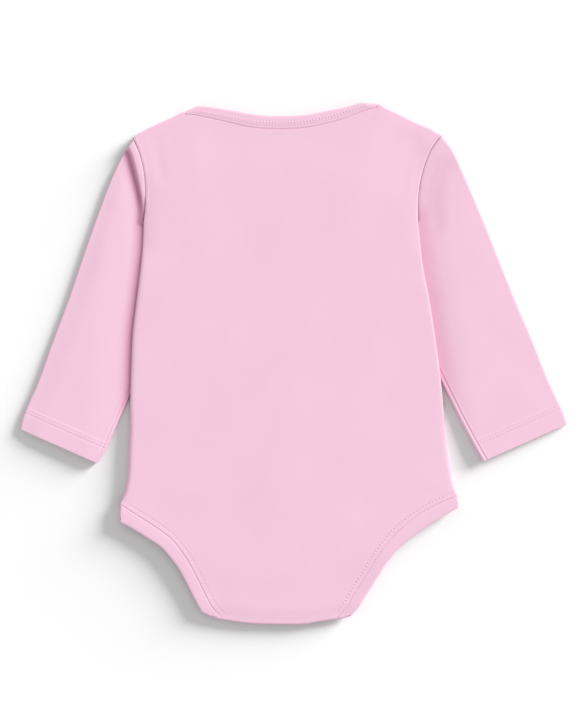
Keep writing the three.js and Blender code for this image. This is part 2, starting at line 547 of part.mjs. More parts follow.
// A station of a binding holds its seam side, its free side and the way its face looks.
function ribSection({ seam, free, face }) {
  const e = unit(add(free, seam, -1));
  const h = RIB / 2;
  const middle = mix(seam, free, 0.5);
  const core = add(free, e, -h);
  const rounded = (up) => add(add(core, e, h * Math.SQRT1_2), face, up * h * Math.SQRT1_2);
  return [add(seam, face, h), add(middle, face, h), add(core, face, h), rounded(1), free,
    rounded(-1), add(core, face, -h), add(middle, face, -h), add(seam, face, -h)];
}
// Stations round a fold of the binding, between two angles.
function foldStations(fold, z, from, to, half = z - RIB / 2) {
  return Array.from({ length: TURN + 1 }, (_, i) => {
    const angle = radians(lerp(from, to, i / TURN));
    const face = [fold.out[0] * Math.cos(angle), fold.out[1] * Math.cos(angle), Math.sin(angle)];
    const at = (p) => [...add(p, face.slice(0, 2), FOLD_R), z + face[2] * half];
    return { seam: at(fold.seam), free: at(fold.free), face };
  });
}
const foldWay = (fold) => unit(add(fold.free, fold.seam, -1));
const lowRib = (x, y) => Math.max(RIB / 2, base(x, y) + CLOTH / 2);
const topRib = (x, y) => backTop(x, y) - CLOTH / 2;
// The points of a list, with one more halfway between each two.
const halved = (points) => points.flatMap((p, i) => (i ? [mix(points[i - 1], p, 0.5), p] : [p]));

// Stations along a seam. The strip stands square to it, but turns to `ways` at the two
// ends, over the shares of its length in `blend`.
function strip(points, widthAt, { ways, blend, sign, heightAt, up }) {
  const last = points.length - 1;
  return points.map((p, i) => {
    const t = i / last;
    const d = unit(add(points[Math.min(i + 1, last)], points[Math.max(i - 1, 0)], -1));
    const square = [sign * d[1], -sign * d[0]];
    const started = mix(square, ways[0], 1 - smooth(0, blend[0], t));
    const way = unit(mix(started, ways[1], smooth(1 - blend[1], 1, t)));
    const z = heightAt(...p);
    return {
      seam: [...add(p, square, SEAM), z],
      free: [...add(p, way, widthAt(t) + SEAM), z],
      face: [0, 0, up],
    };
  });
}
function legBand(name, side) {
  const index = side < 0 ? 0 : 1;
  const { crotch, side: corner } = LEG_FOLDS[side < 0 ? 'left' : 'right'];
  const widths = LEG_WIDTH.map((row, i) => [row[index], i]);
  const legWidth = (t) => curve(widths, t * LEG_END)[0];
  const tabLine = TAB_LINE.map((t) => mix(TAB_END[index], crotch.seam, t));
  const tab = strip(tabLine, (t) => lerp(TAB_BINDING, distance(crotch.seam, crotch.free), t), {
    ways: [[side, TAB_SLANT], foldWay(crotch)], blend: TAB_BLEND, sign: side, up: -1,
    heightAt: () => FOLD_Z - FOLD_R,
  });
  const backLine = halved(LEG_ROWS.map((row) => edge(BACK_SIDES[index], row)));
  const back = strip(backLine, legWidth, {
    ways: [foldWay(crotch), foldWay(corner)], blend: LEG_BLEND, sign: side, heightAt: topRib, up: 1,
  });
  const frontLine = halved(LEG_ROWS.map((row) => edge(FRONT_SIDES[index], row))).reverse();
  const front = strip(frontLine, (t) => lerp(legWidth(1), TAB_BINDING, smooth(...FRONT_NARROW, t)), {
    ways: [foldWay(corner), [side, -FRONT_SLANT]], blend: FRONT_BLEND, sign: -side, up: -1,
    heightAt: lowRib,
  });
  const turn = foldStations(crotch, FOLD_Z, -90, 90, FOLD_R);
  const sideTurn = foldStations(corner, foldZ(GAP_HIP), 90, -90);
  const stations = [...tab.slice(0, -1), ...turn, ...back.slice(1, -1), ...sideTurn, ...front.slice(1)];
  return sectionSolid(name, stations.map(ribSection), LOOKS.rib);
}
function neckBand() {
  const { left, right } = NECK_FOLDS;
  const free = pairs(NECK_BACK, 2).slice(1, -1);
  const backLine = halved(BACK_NECK_U.slice(1, -1).map((u) => panelPoint(BACK, u, TOP)));
  const last = backLine.length - 1;
  const back = backLine.map((p, i) => {
    const d = unit(add(backLine[Math.min(i + 1, last)], backLine[Math.max(i - 1, 0)], -1));
    const z = topRib(...p);
    const seam = add(p, [-d[1], d[0]], SEAM);
    return { seam: [...seam, z], free: [...along(free, i / last), z], face: [0, 0, 1] };
  });
  const frontLine = halved(FRONT_NECK_U.map((u) => panelPoint(FRONT, u, TOP))).reverse();
  const front = strip(frontLine, (t) => lerp(...NECK_WIDTH, smooth(...NECK_WIDEN, t)), {
    ways: [foldWay(right), foldWay(left)], blend: FRONT_BLEND, sign: 1, heightAt: lowRib, up: -1,
  });
  const stations = [...foldStations(left, foldZ(GAP_NECK), -90, 90), ...back.slice(1, -1),
    ...foldStations(right, foldZ(GAP_NECK), 90, -90), ...front.slice(1, -1)];
  return sectionSolid('neck_band', stations.map(ribSection), LOOKS.rib, true);
}

// Snap caps on the outer side of the front tab
function snap(name, x) {
  const around = Array.from({ length: SNAP_SIDES }, (_, i) => 2 * Math.PI * i / SNAP_SIDES);
  const ring = (radius, z) => around.map((a) => [x + radius * Math.cos(a), SNAP_Y + radius * Math.sin(a), z]);
  const sections = [ring(SNAP_D / 2 - SNAP_RIM, 0), ring(SNAP_D / 2, SNAP_RIM), ring(SNAP_D / 2, SNAP_H)];
  return sectionSolid(name, sections, LOOKS.snap);
}

const part = new THREE.Group();
part.name = 'baby_onesie';
part.add(backPanel(), frontPanel());
part.add(sleeve('sleeve_left', SLEEVE_LEFT, -1), sleeve('sleeve_right', SLEEVE_RIGHT, 1));
part.add(neckBand(), legBand('leg_band_left', -1), legBand('leg_band_right', 1));
SNAP_X.forEach((x, i) => part.add(snap(`snap_${i + 1}`, x)));
export default part;
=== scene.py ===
# %% [markdown]
# A baby's long sleeved bodysuit, sewn from soft cotton knit, lies face down on white paper.
# We see its back from straight above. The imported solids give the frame, in metres, with +X to
# the right, +Y towards the neck and +Z up. Every piece of cloth is made again here, finer.

# %% Load the frame
import math

import bmesh
import bpy
import numpy as np
from mathutils import Matrix, Vector


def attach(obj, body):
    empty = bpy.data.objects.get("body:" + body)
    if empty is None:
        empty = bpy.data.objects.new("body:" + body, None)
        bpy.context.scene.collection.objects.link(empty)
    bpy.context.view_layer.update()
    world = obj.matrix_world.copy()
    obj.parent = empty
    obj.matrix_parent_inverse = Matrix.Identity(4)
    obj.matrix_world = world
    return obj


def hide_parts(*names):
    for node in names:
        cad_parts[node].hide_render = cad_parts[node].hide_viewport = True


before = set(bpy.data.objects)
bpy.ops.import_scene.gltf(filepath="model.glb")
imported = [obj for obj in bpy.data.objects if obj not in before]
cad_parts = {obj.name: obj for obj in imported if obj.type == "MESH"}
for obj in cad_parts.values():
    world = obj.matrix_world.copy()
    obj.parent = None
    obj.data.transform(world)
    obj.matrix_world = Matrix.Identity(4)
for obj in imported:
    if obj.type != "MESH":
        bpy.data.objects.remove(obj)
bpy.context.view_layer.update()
MM = 0.001

# %% [markdown]
# The camera hangs straight above the cloth, far away, so that the seams near the edge of the
# picture are not seen from the side. One pixel is 0.8 mm on the cloth, and the middle of the
# picture lies a little left of and above the middle of the garment.

# %% Camera
PIXEL = 0.8
FRAME_PX = (583, 720)
CAMERA_HEIGHT = 2500.0
SENSOR = 36.0
camera_data = bpy.data.cameras.new("camera")
camera_data.sensor_fit = "VERTICAL"
camera_data.sensor_height = SENSOR
camera_data.lens = SENSOR * CAMERA_HEIGHT / (FRAME_PX[1] * PIXEL)
camera_data.clip_end = 20
camera = bpy.data.objects.new("camera", camera_data)
camera.location = (-1.6 * MM, 2.4 * MM, CAMERA_HEIGHT * MM)
bpy.context.scene.collection.objects.link(camera)
bpy.context.scene.camera = camera
print("lens", round(camera_data.lens, 1), "mm")

# %% [markdown]
# The sizes are those of the sewn garment, in millimetres. A knit wall of 1.2 mm is a soft
# cotton interlock with its pile. A rib binding is folded over the cut edge, so it is thicker.

# %% Named sizes
CLOTH = 1.2
RIB = 1.6
SEAM = 0.3
SLEEVE_H = 2.8
LIFT = 3.1
TAB_LIFT = 1.3
BODY_H = 7.4
TAPER = 50
FOLD_DROP = 0.85
GAP_SEW = 3.8
GAP_HIP = 4.6
GAP_SIDE = 1.6
GAP_CROTCH = 2.6
ROLL_LEFT, ROLL_RIGHT, ROLL_TOP = 4.0, 1.8, 1.8
FOLD_R = 0.95
LEG_END, SIDE_END, TOP = 9, 20, 26
NECK_L, NECK_R = 0.162, 0.795
CROTCH_TOP = TAB_LIFT + 2 * CLOTH + GAP_CROTCH - FOLD_DROP
CROTCH_HALF = 1.37
CROTCH_Z = CROTCH_TOP - CROTCH_HALF
LOW_FOLD_Z = (RIB / 2 + 2 * CLOTH + GAP_SEW - CLOTH / 2) / 2
LOW_FOLD_HALF = LOW_FOLD_Z - RIB / 2
SIDE_FOLD_Z = (RIB / 2 + 2 * CLOTH + GAP_HIP - CLOTH / 2) / 2
print("the crotch fold is", round(2 * CROTCH_HALF, 2), "mm thick, its top at", round(CROTCH_TOP, 2), "mm")

# %% [markdown]
# A pattern maker draws each panel by its edges. The rows below climb the body: 0 to 9 along
# the leg, 9 to 20 up the side seam, 20 to 26 round the armhole to the shoulder tip.

# %% Outline tables
# columns: left x, left y, right x, right y
BACK_ROWS = np.array([
    [-57.2, -203.4, 35.6, -202.8], [-63.0, -197.6, 42.8, -194.4], [-68.1, -189.8, 48.4, -184.0],
    [-76.2, -173.5, 57.2, -170.4], [-84.4, -158.2, 66.8, -154.4], [-93.6, -145.0, 77.2, -140.8],
    [-100.7, -137.8, 85.2, -132.8], [-114.0, -128.6, 99.6, -121.6], [-128.0, -119.7, 115.6, -112.4],
    [-138.0, -113.3, 130.8, -106.4], [-134.8, -101.6, 128.0, -97.6], [-132.8, -89.6, 125.6, -87.2],
    [-132.0, -69.6, 122.8, -69.6], [-131.2, -53.6, 121.2, -53.6], [-130.4, -29.6, 119.2, -29.6],
    [-129.6, -5.6, 116.8, -5.6], [-128.4, 22.4, 113.0, 22.4], [-125.2, 50.4, 108.6, 50.4],
    [-122.0, 76.0, 103.6, 76.0], [-120.2, 94.4, 101.4, 94.4], [-119.6, 112.8, 99.6, 112.8],
    [-118.4, 124.8, 99.4, 126.4], [-118.0, 138.4, 100.4, 140.0], [-119.2, 152.8, 103.2, 152.8],
    [-122.0, 164.8, 107.2, 164.8], [-124.8, 172.8, 112.4, 174.4], [-127.3, 178.4, 118.0, 182.0]])
FRONT_LEG = np.array([
    [-57.2, -199.2, 35.6, -199.2], [-60.4, -192.8, 39.2, -192.4], [-64.4, -184.8, 44.0, -183.2],
    [-70.8, -171.2, 53.2, -168.0], [-78.0, -157.2, 62.8, -152.0], [-87.2, -144.0, 73.6, -138.8],
    [-95.6, -136.0, 82.0, -130.8], [-110.0, -126.0, 96.4, -120.0], [-124.4, -118.2, 114.0, -110.8]])
FRONT_ROWS = np.vstack([FRONT_LEG, BACK_ROWS[LEG_END:]])
# columns: x, y
SHOULDER_LEFT = np.array([
    [-127.3, 178.4], [-126.8, 180.8], [-124.4, 183.2], [-120.4, 185.6], [-115.6, 188.0],
    [-105.2, 192.8], [-94.8, 197.6], [-87.6, 200.4]])
SHOULDER_RIGHT = np.array([
    [67.6, 206.6], [72.4, 204.8], [78.0, 202.4], [87.6, 197.6], [97.2, 192.8], [109.2, 188.0],
    [114.8, 184.0], [118.0, 182.0]])
# columns: seam x, seam y, free edge x, free edge y
NECK_BACK = np.array([
    [-87.6, 200.4, -76.0, 205.8], [-86.6, 198.3, -74.1, 204.8], [-80.6, 198.0, -70.4, 204.8],
    [-74.8, 196.9, -66.0, 204.3], [-62.0, 194.2, -57.2, 202.9], [-49.2, 191.2, -46.0, 201.0],
    [-36.4, 188.2, -34.0, 198.9], [-23.6, 186.8, -22.0, 197.5], [-10.8, 186.4, -10.8, 197.2],
    [2.0, 186.8, 1.2, 197.5], [14.8, 188.4, 13.2, 198.6], [27.6, 191.2, 25.2, 201.0],
    [40.4, 194.8, 36.4, 203.2], [46.8, 197.4, 42.0, 204.6], [53.2, 199.9, 46.8, 205.4],
    [60.0, 202.4, 51.6, 206.2], [67.2, 204.0, 56.2, 206.3], [67.6, 206.6, 57.0, 207.9]])
NECK_FRONT = np.array([
    [-87.6, 200.4], [-83.6, 186.4], [-73.2, 172.8], [-55.6, 162.4], [-33.2, 156.0], [-8.4, 153.6],
    [16.4, 156.0], [38.0, 164.0], [53.2, 176.8], [62.2, 191.2], [66.9, 202.5], [67.6, 206.6]])
CROTCH_BACK = np.array([
    [-57.2, -203.4], [-45.0, -205.3], [-32.4, -206.6], [-6.8, -207.2], [9.2, -206.9],
    [21.2, -204.9], [35.6, -202.8]])
CROTCH_FRONT = np.array([[-57.2, -199.2], [-11.0, -199.6], [35.6, -199.2]])
TAB_END = np.array([[-50.0, -182.4], [26.8, -181.6]])
# columns: y, raise at the edges, sleeve depth left, sleeve depth right
TUCK = np.array([
    [-54, 0.0, 0, 0], [-30, 1.0, 3, 4], [-6, 1.0, 11, 9], [22, 1.0, 20, 16], [50, 1.0, 23, 20],
    [76, 1.0, 22, 18], [95, 1.0, 18, 15], [113, 1.0, 14, 12], [138, 1.0, 8, 8], [153, 0.8, 6, 6],
    [165, 0.4, 5, 5], [178, 0.0, 4, 4]])
# columns: outer fold x, y, inner fold x, y, from the cuff up
SLEEVE_LEFT = np.array([
    [-218.4, -52.8, -156.8, -80.0], [-215.2, -40.8, -150.4, -70.4], [-203.6, -13.6, -139.6, -45.6],
    [-192.4, 17.6, -126.0, -16.8], [-180.4, 49.6, -113.2, 12.8], [-169.2, 82.4, -104.4, 40.8],
    [-158.0, 114.4, -100.8, 64.0], [-146.8, 144.0, -101.6, 82.4], [-136.4, 166.4, -104.0, 94.4],
    [-127.9, 178.7, -106.8, 103.2]])
SLEEVE_RIGHT = np.array([
    [218.8, -48.8, 151.2, -78.6], [214.8, -37.6, 145.6, -68.8], [203.6, -13.6, 134.8, -48.8],
    [190.8, 18.4, 121.2, -21.6], [177.2, 50.4, 107.6, 7.2], [164.4, 82.4, 94.0, 38.4],
    [151.6, 114.4, 87.6, 64.0], [138.0, 146.4, 87.2, 82.4], [127.8, 169.2, 88.8, 94.4],
    [118.6, 182.3, 90.8, 104.8]])
# columns: width of the leg binding left, right, by row of the leg edge
LEG_WIDTH = np.array([
    [10.0, 9.8], [8.8, 8.8], [8.7, 8.6], [8.9, 8.4], [9.1, 8.8], [9.9, 9.5],
    [10.1, 10.2], [10.5, 10.7], [10.9, 10.2], [12.4, 8.4]])
# columns: seam x, y, free x, y, out x, y
LEG_FOLDS = {
    "left": {"crotch": (-57.6, -203.3, -67.2, -200.7, -0.26, -0.966),
             "side": (-137.0, -113.7, -137.8, -125.3, -1.0, 0.0)},
    "right": {"crotch": (36.0, -202.8, 45.6, -200.9, 0.19, -0.98),
              "side": (129.3, -106.9, 131.2, -114.6, 0.97, 0.24)}}
NECK_FOLDS = {"left": (-86.4, 199.0, -74.1, 204.8, -0.42, 0.91),
              "right": (67.0, 205.5, 57.0, 206.5, 0.10, 0.995)}
print("outline rows", len(BACK_ROWS), "sleeve sections", len(SLEEVE_LEFT))

# %% [markdown]
# A few small functions turn these tables into smooth lines. They work on whole arrays at
# once, so that a fine grid of cloth is placed in a moment.

# %% Curve helpers
def smooth(a, b, x):
    t = np.clip((np.asarray(x, float) - a) / (b - a), 0.0, 1.0)
    return t * t * (3 - 2 * t)


def mix(a, b, t):
    t = np.asarray(t, float)
    return a + (b - a) * (t[..., None] if np.ndim(a) > np.ndim(t) or np.shape(a)[-1:] == (2,) else t)


def unit(v):
    return v / np.maximum(np.linalg.norm(v, axis=-1, keepdims=True), 1e-9)


def curve(points, s):
    p = np.vstack([2 * points[0] - points[1], points, 2 * points[-1] - points[-2]])
    s = np.clip(np.asarray(s, float), 0, len(points) - 1)
    i = np.minimum(s.astype(int), len(points) - 2)
    t = (s - i)[..., None]
    p0, p1, p2, p3 = p[i], p[i + 1], p[i + 2], p[i + 3]
    return 0.5 * (2 * p1 + (p2 - p0) * t + (2 * p0 - 5 * p1 + 4 * p2 - p3) * t ** 2
                  + (3 * p1 - p0 - 3 * p2 + p3) * t ** 3)


def run_along(points):
    """Distance along a chain from its first point to each of its points."""
    return np.concatenate([[0], np.cumsum(np.linalg.norm(np.diff(points, axis=0), axis=1))])


def along(points, t):
    place = run_along(points)
    d = np.asarray(t, float) * place[-1]
    return np.stack([np.interp(d, place, points[:, 0]), np.interp(d, place, points[:, 1])], -1)


def rounded(points, n=240):
    return curve(points, np.linspace(0, len(points) - 1, n))


def edge(side, row):
    row = np.asarray(row, float)
    out = np.empty(row.shape + (2,))
    for lo, hi in ((0, LEG_END), (LEG_END, SIDE_END), (SIDE_END, TOP)):
        here = (row >= lo) & (row <= hi)
        out[here] = curve(side[lo:hi + 1], row[here] - lo)
    return out


def eased(table, x, col):
    x = np.asarray(x, float)
    k = np.clip(np.searchsorted(table[:, 0], x) - 1, 0, len(table) - 2)
    t = smooth(0, 1, (x - table[k, 0]) / (table[k + 1, 0] - table[k, 0]))
    return table[k, col] + (table[k + 1, col] - table[k, col]) * t


def nearest(xy, line):
    best = np.full(len(xy), 1e9)
    where = np.zeros(len(xy))
    for k in range(len(line) - 1):
        a, d = line[k], line[k + 1] - line[k]
        t = np.clip(((xy - a) @ d) / (d @ d), 0, 1)
        q = np.linalg.norm(xy - a - t[:, None] * d, axis=1)
        closer = q < best
        best[closer] = q[closer]
        where[closer] = k + t[closer]
    return best, where


BACK_SIDES = (BACK_ROWS[:, 0:2], BACK_ROWS[:, 2:4])
FRONT_SIDES = (FRONT_ROWS[:, 0:2], FRONT_ROWS[:, 2:4])
EDGE_SAMPLES = [edge(side, np.linspace(0, TOP, 261)) for side in BACK_SIDES]
NECK_BACK_LINE = np.vstack([NECK_BACK[:1, :2], rounded(NECK_BACK[1:-1, :2]), NECK_BACK[-1:, :2]])
NECK_FRONT_LINE = rounded(NECK_FRONT)
CROTCH_LINE = rounded(CROTCH_BACK)
TOP_LINE = np.vstack([SHOULDER_LEFT, NECK_BACK_LINE[2:-2], SHOULDER_RIGHT])
print("neck seam", round(float(np.linalg.norm(np.diff(NECK_BACK_LINE, axis=0), axis=1).sum())), "mm long")

# %% [markdown]
# Cloth that has been worn or packed is never quite flat. The soft folds are listed one by one:
# each row is a straight trough or ridge from one point to another, with a width and a height
# in millimetres. A negative height is a trough.

# %% Soft folds
# columns: x0, y0, x1, y1, width, height
ARM_FOLDS = [(-121, 140, -122, 92, 8, -1.3), (102, 165, 101, 98, 7, -0.5)]
BACK_FOLDS = [
    (-110, 176, -106, 150, 5, -0.3), (96, 176, 88, 140, 6, -0.3), (-60, 150, -30, 60, 26, -0.3),
    (40, 130, 70, 10, 24, 0.25), (10, 60, -10, -90, 30, 0.3), (-80, -70, -30, -150, 24, -0.3),
    (60, -60, 30, -140, 22, 0.25), (-20, 178, 30, 150, 16, 0.15), (-110, -96, -70, -108, 12, 0.2),
    (70, -104, 110, -92, 11, 0.2)]
FRONT_FOLDS = [
    (-90, 120, -70, 20, 12, 0.5), (60, 110, 40, -20, 14, 0.5), (-60, -40, 20, -70, 16, 0.45),
    (-30, 100, 10, 40, 12, 0.4), (-100, -60, -60, -100, 10, 0.4), (50, -80, 80, -50, 10, 0.4)]
SLEEVE_FOLDS = {
    -1: [(-150, 120, -190, 20, 14, -0.3), (-126, 70, -160, -10, 14, 0.25), (-140, 130, -128, 70, 8, 0.2)],
    1: [(128, 150, 122, 112, 8, -0.3), (140, 120, 170, 30, 16, 0.25), (150, 0, 190, -30, 14, 0.2)]}


def folds(table, x, y):
    total = np.zeros(np.shape(x))
    for x0, y0, x1, y1, wide, high in table:
        d = np.array([x1 - x0, y1 - y0], float)
        t = np.clip(((x - x0) * d[0] + (y - y0) * d[1]) / (d @ d), 0, 1)
        away = np.hypot(x - x0 - t * d[0], y - y0 - t * d[1])
        total += high * np.exp(-(away / wide) ** 2)
    return total


on_sleeves = sum(len(table) for table in SLEEVE_FOLDS.values())
print("soft folds", len(BACK_FOLDS), "on the back and", on_sleeves, "on the sleeves")

# %% [markdown]
# The layers lie on each other. Where a sleeve is tucked under the side of the body, the front
# panel climbs over it, and at the crotch it climbs over the snaps. The back swells from its
# edges to one even height, since there is a little air between the panels.

# %% Heights of the layers
def x_left(y):
    return np.interp(y, EDGE_SAMPLES[0][:, 1], EDGE_SAMPLES[0][:, 0])


def x_right(y):
    return np.interp(y, EDGE_SAMPLES[1][:, 1], EDGE_SAMPLES[1][:, 0])


def base(x, y):
    tab = TAB_LIFT * (1 - smooth(-176, -148, y))
    lift = LIFT * eased(TUCK, y, 1)
    left = lift * (1 - smooth(0, 12, x - x_left(y) - eased(TUCK, y, 2) - 2))
    right = lift * (1 - smooth(0, 12, x_right(y) - x - eased(TUCK, y, 3) - 2))
    return np.maximum(tab, np.maximum(left, right))


def from_edges(x, y):
    xy = np.column_stack([x, y])
    left, right = (nearest(xy, line[::10])[0] for line in EDGE_SAMPLES)
    return np.minimum(left, right), nearest(xy, TOP_LINE[::14])[0]


def back_top(x, y):
    near_crotch = 1 - smooth(-185, -150, y)
    tucked = LIFT * eased(TUCK, y, 1) + GAP_SIDE
    open_side = GAP_HIP + (GAP_SEW - GAP_HIP) * smooth(120, 180, y)
    side = np.maximum(tucked, open_side)
    rim = 2 * CLOTH + side + (TAB_LIFT + GAP_CROTCH - side) * near_crotch
    inside, from_top = from_edges(x, y)
    swell = smooth(0, TAPER, inside) * smooth(0, TAPER, from_top) * smooth(-205, -150, y)
    from_fold = y - np.interp(x, CROTCH_LINE[:, 0], CROTCH_LINE[:, 1])
    drop = FOLD_DROP * (1 - smooth(0, 12, from_fold))
    return rim + (BODY_H - rim) * swell - drop + folds(ARM_FOLDS, x, y)


MIDDLE = np.array([-10.0]), np.array([0.0])
print("back stands", round(float(back_top(*MIDDLE)[0]), 2), "mm high in the middle")

# %% [markdown]
# Each piece of cloth starts as a flat grid, as cloth comes off the roll. A function then says
# where every crossing of the grid lies in the garment. The grid's own position on the cut
# piece, in metres, is kept as its UV map, so that the knit follows the cloth.

# %% Grid to cloth
def cloth_grid(name, place, columns, rows, flip=False, tube=False):
    """place(i, j) gives positions and flat positions in mm for arrays of column and row."""
    bm = bmesh.new()
    bmesh.ops.create_grid(bm, x_segments=columns, y_segments=rows, size=1.0)
    xy = np.array([v.co[:2] for v in bm.verts])
    cols = np.unique(np.round(xy[:, 0], 5))
    rws = np.unique(np.round(xy[:, 1], 5))
    i = np.searchsorted(cols, np.round(xy[:, 0], 5) - 1e-6)
    j = np.searchsorted(rws, np.round(xy[:, 1], 5) - 1e-6)
    xyz, flat = place(i, j, len(cols) - 1, len(rws) - 1)
    layer = bm.loops.layers.uv.new("cut")
    for v, p in zip(bm.verts, xyz):
        v.co = Vector(p) * MM
    for face in bm.faces:
        for loop in face.loops:
            loop[layer].uv = flat[loop.vert.index] * MM
    if flip:
        bmesh.ops.reverse_faces(bm, faces=bm.faces)
    if tube:
        bmesh.ops.remove_doubles(bm, verts=bm.verts, dist=1e-6)
    return to_object(name, bm)


def to_object(name, bm):
    for face in bm.faces:
        face.smooth = True
    mesh = bpy.data.meshes.new(name)
    bm.to_mesh(mesh)
    bm.free()
    obj = bpy.data.objects.new(name, mesh)
    bpy.context.scene.collection.objects.link(obj)
    print(name, len(mesh.vertices), "points")
    return obj


def give_wall(obj, thickness, rim=0.35):
    wall = obj.modifiers.new("wall", "SOLIDIFY")
    wall.thickness = thickness * MM
    wall.offset = -1
    wall.use_quality_normals = True
    if rim:
        soft = obj.modifiers.new("soft rim", "BEVEL")
        soft.width = rim * MM
        soft.segments = 2
        soft.limit_method = "ANGLE"
        soft.angle_limit = math.radians(62)
    return obj


# %% [markdown]
# A point of a panel is given by u, its share of the width, and row, its height in the table.
# Near the top the rows bend to follow shoulders and neck, near the bottom to follow the
# crotch fold. This is one smooth patch between four edges.

# %% Points of a panel
def top_edge(neck, u):
    u = np.asarray(u, float)
    out = along(neck, np.clip((u - NECK_L) / (NECK_R - NECK_L), 0, 1))
    left, right = u <= NECK_L, u >= NECK_R
    out[left] = along(SHOULDER_LEFT, u[left] / NECK_L)
    out[right] = along(SHOULDER_RIGHT, (u[right] - NECK_R) / (1 - NECK_R))
    return out


def panel_point(panel, u, row):
    sides, neck, crotch, top_from, top_power = panel
    chord = lambda r: mix(edge(sides[0], r), edge(sides[1], r), u)
    full = np.full(np.shape(u), float(TOP))
    up = np.clip((row - top_from) / (TOP - top_from), 0, 1) ** top_power
    down = np.clip(1 - row / 4, 0, 1) ** 1.5
    q = chord(row) + up[..., None] * (top_edge(neck, u) - chord(full))
    return q + down[..., None] * (along(crotch, u) - chord(0 * full))


BACK = (BACK_SIDES, NECK_BACK_LINE, CROTCH_LINE, 20, 1.5)
FRONT = (FRONT_SIDES, NECK_FRONT_LINE, CROTCH_FRONT, 14, 1.2)
LEG_SEAMS = [edge(side, np.linspace(0, LEG_END, 73)) for side in BACK_SIDES]
SIDE_SEAMS = [edge(side, np.linspace(LEG_END, SIDE_END, 56)) for side in BACK_SIDES]
ARMHOLES = [edge(side, np.linspace(SIDE_END, TOP, 49)) for side in BACK_SIDES]
print("leg seam", round(float(np.linalg.norm(np.diff(LEG_SEAMS[0], axis=0), axis=1).sum())), "mm")

# %% [markdown]
# Seams give knitwear its relief. Beside the leg binding the panel sinks into the seam, then
# the hidden seam allowance lifts it a little, and the topstitching pulls it down again. The
# same shape, weaker, runs along the neck, the armholes and the side seams.

# %% Seam relief
def bump(e, at, wide):
    return np.exp(-((e - at) / wide) ** 2)


def leg_relief(e):
    lifted = 0.12 * bump(e, 1.3, 0.7) + 0.08 * bump(e, 4.9, 0.5)
    return lifted - 0.34 * bump(e, 0.0, 0.45) - 0.28 * bump(e, 3.9, 0.45)


def neck_relief(e):
    return -0.14 * bump(e, 0.0, 0.4)


def arm_relief(e):
    return -0.3 * bump(e, 0.0, 0.7) + 0.14 * bump(e, 1.6, 1.0)


def side_relief(e):
    return -0.07 * bump(e, 3.4, 0.8)


# %% [markdown]
# Back panel. The body is a tube of cloth pressed flat, so its back turns down at the sides
# and shoulders to meet the front. The turn is a quarter of an ellipse. At the crotch the cloth
# runs on round a tight fold and back under itself, as the tab that the snaps close.

# %% Back panel
ROLL_N = 9
TAB_ROWS, FOLD_ROWS = 12, 10
THETA = np.linspace(0, math.pi / 2, ROLL_N)
NEAR_EDGE = np.array([4.7, 5.5, 6.3, 7.2, 8.3, 9.6, 11.2])


def column_table(inner_counts):
    """Each column is a distance from an edge in mm, or a share of the width further in."""
    left = [("left", d, t) for d, t in zip(ROLL_LEFT * (1 - np.cos(THETA)), THETA)]
    left += [("left", d, None) for d in NEAR_EDGE]
    stops = [0.0, NECK_L, NECK_R, 1.0]
    inner = []
    for k, n in enumerate(inner_counts):
        inner += [("inner", (k, s), None) for s in np.linspace(0, 1, n, endpoint=False)]
    right = [("right", d if t is None else d * ROLL_RIGHT / ROLL_LEFT, t) for _, d, t in reversed(left)]
    return left + inner + [("inner", (2, 1.0), None)] + right, stops


BACK_COLUMNS, STOPS = column_table((14, 86, 20))


def back_rows():
    # columns: first row, last row, steps
    parts = [(0, 9, 120), (9, 10.4, 12), (10.4, 20, 72), (20, 25.2, 44)]
    return np.concatenate([np.linspace(a, b, n, endpoint=False) for a, b, n in parts])


BACK_MAIN_ROWS = back_rows()
SHOULDER_STEPS = 12


def u_of_columns(width, last_inner=13.0):
    us = np.zeros(len(BACK_COLUMNS))
    margin = last_inner / width
    stops = [margin, NECK_L, NECK_R, 1 - margin]
    for k, (kind, value, _) in enumerate(BACK_COLUMNS):
        if kind == "left":
            us[k] = value / width
        elif kind == "right":
            us[k] = 1 - value / width
        else:
            part, s = value
            us[k] = stops[part] + (stops[part + 1] - stops[part]) * s
    return us


def roll_amount(row):
    return smooth(9.0, 9.9, row) * (1 - smooth(20.5, 21.5, row))


def shoulder_amount(u):
    left = smooth(0, 0.02, u) * (1 - smooth(NECK_L - 0.035, NECK_L - 0.004, u))
    right = smooth(NECK_R + 0.004, NECK_R + 0.035, u) * (1 - smooth(0.98, 1, u))
    return np.maximum(left, right)


def back_relief(xy):
    z = folds(BACK_FOLDS, xy[:, 0], xy[:, 1])
    inside = np.minimum(xy[:, 0] - x_left(xy[:, 1]), x_right(xy[:, 1]) - xy[:, 0])
    z = z * smooth(1, 14, inside)
    for line in LEG_SEAMS:
        z = z + leg_relief(nearest(xy, line)[0])
    for line in SIDE_SEAMS:
        e, where = nearest(xy, line)
        z = z + side_relief(e) * smooth(0, 4, where) * (1 - smooth(51, 55, where))
    for line in ARMHOLES:
        e, where = nearest(xy, line)
        z = z + arm_relief(e) * smooth(2, 8, where)
    return z + neck_relief(nearest(xy, NECK_BACK_LINE[1:-1])[0])


